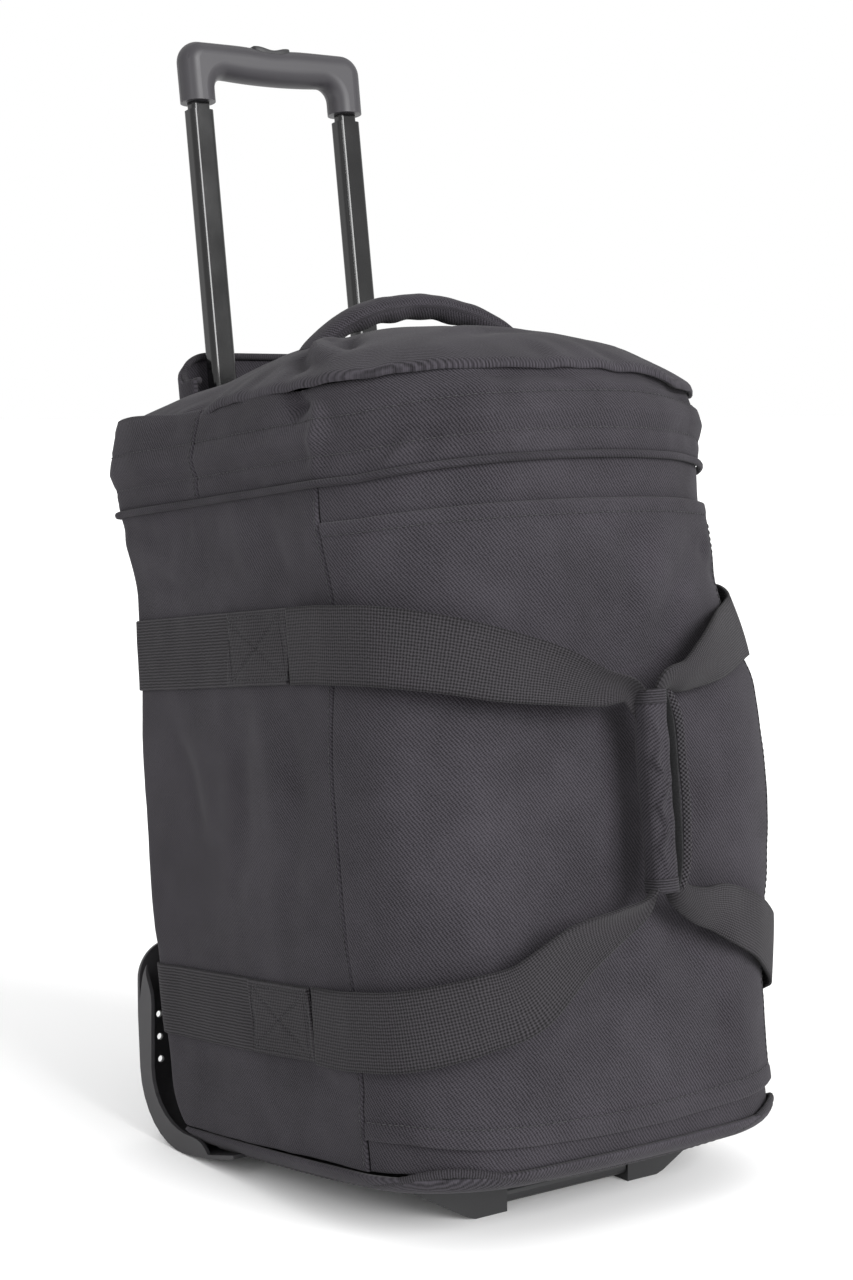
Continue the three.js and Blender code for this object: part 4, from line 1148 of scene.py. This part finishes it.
def build_grip_shells():
    """The front and rear halves of the grip, rounded from their parting line to their flat faces."""
    outline = grip_outline()
    tangent = np.roll(outline, -1, 0) - np.roll(outline, 1, 0)
    inward = unit(np.stack([-tangent[:, 1], tangent[:, 0]], 1))
    depth, radius = 12.0, 11.2
    upper = smooth((outline[:, 1] - 822) / 5) * (inward[:, 1] < 0)
    middle = np.sign(outline[:, 0]) * LEG_MIDDLE
    angles = np.radians([0, 0, 2, 8, 16, 25, 34, 42, 44, 46, 50, 58, 66, 74, 82, 90])
    for name, sign in (("front", -1), ("rear", 1)):
        rings = []
        for k, a in enumerate(angles):
            parting, groove = 0.9 * (k == 0), 0.6 * upper * (k == 8)
            inset = radius * (1 - math.cos(a)) + parting + groove
            x, w = (outline + inset[:, None] * inward).T
            squeezed = middle + (outline[:, 0] - middle) * (1 - inset / LEG_HALF)
            x = np.where(outline[:, 1] < LEG_TOP, squeezed, x)
            v = TUBE_V + sign * (0.12 + (depth - 0.2) * math.sin(a))
            rings.append(joined(x, v, np.maximum(w, LEG_BOTTOM)))
        points = np.array(rings)
        points[..., 2] -= 0.8 * bell(points[..., 0], 17) * smooth((points[..., 2] - 830) / 5)
        rows, columns = points.shape[:2]
        faces = grid_faces(rows, columns, around=True, flip=sign > 0).tolist()
        faces.append(last_ring(rows, columns)[::sign])
        made = piece(f"grip_{name}_shell", points.reshape(-1, 3), faces, TROLLEY, "trolley_grip",
                     "grip_plastic", replaces=[f"grip_{name}"], slot="dark_plastic")
        made.data.set_sharp_from_angle(angle=math.radians(50))


def build_release_button():
    half_length, bottom = 15.6, 828
    x = np.linspace(-half_length, half_length, 40)
    crown = 838.3 - 2.6 * np.cos(x / half_length * math.pi / 2) ** 2
    half_width = 8.6 * (1 - 0.25 * (x / half_length) ** 4)
    sections = [rounded_rectangle(2 * half, top - bottom, 1.6, 4) for half, top in zip(half_width, crown)]
    sweep("release_button_cap", joined(x, TUBE_V, (crown + bottom) / 2), sections, (0, 0, 1), TROLLEY,
          "release_button", "dark_plastic", replaces=["grip_button"], slot="dark_plastic")


# ---- Room, light and camera ----
FLOOR_HALF = 90


def linked(name, data, location=(0, 0, 0)):
    made = bpy.data.objects.new(name, data)
    made.location = location
    bpy.context.scene.collection.objects.link(made)
    return made


def facing(direction):
    return Vector(direction).to_track_quat("-Z", "Y").to_euler()


def build_room():
    mesh = bpy.data.meshes.new("floor")
    corners = [(x * FLOOR_HALF, y * FLOOR_HALF, 0) for x, y in ((-1, -1), (1, -1), (1, 1), (-1, 1))]
    mesh.from_pydata(corners, [], [(0, 1, 2, 3)])
    material, _, shader = start_material("floor_paper", 0.9)
    shader.inputs["Base Color"].default_value = (0.95, 0.95, 0.95, 1)
    mesh.materials.append(material)
    linked("floor", mesh)

    world = bpy.data.worlds.new("studio")
    bpy.context.scene.world = world
    world.use_nodes = True
    background = world.node_tree.nodes["Background"]
    background.inputs["Color"].default_value = (1, 1, 1, 1)
    background.inputs["Strength"].default_value = 1.0

    light = bpy.data.lights.new("key", "SUN")
    light.energy, light.angle = 4.2, math.radians(35)
    linked("key", light).rotation_euler = facing((-0.25, 1.5, -0.62))
    light = bpy.data.lights.new("strip", "AREA")
    light.shape, light.size, light.size_y, light.energy = "RECTANGLE", 0.14, 1.5, 10
    place = Vector((-1.7, -0.75, 0.95))
    linked("strip", light, place).rotation_euler = facing(Vector((0, 0.1, 0.6)) - place)

    camera = linked("camera", bpy.data.cameras.new("camera"), SHIFT + Vector((-0.97728, -1.14857, 0.5210)))
    camera.data.lens = 66.49
    camera.rotation_euler = (math.radians(84.39), 0, math.radians(-35.65))
    bpy.context.scene.camera = camera
    bpy.context.scene.view_settings.view_transform = "Standard"


build_panels()
build_dome()
build_bottom()
build_channel()
build_trims()
build_stitching()
for strap_level in STRAP_LEVELS:
    for strap_side, _ in SIDES:
        build_sewn_strap(strap_level, strap_side)
build_loop("left", -4)
build_loop("right", 4.5)
build_wrap()
build_top_handle()
build_zip()
finish_nodes()
build_sleeve()
build_grip_shells()
build_release_button()
build_room()
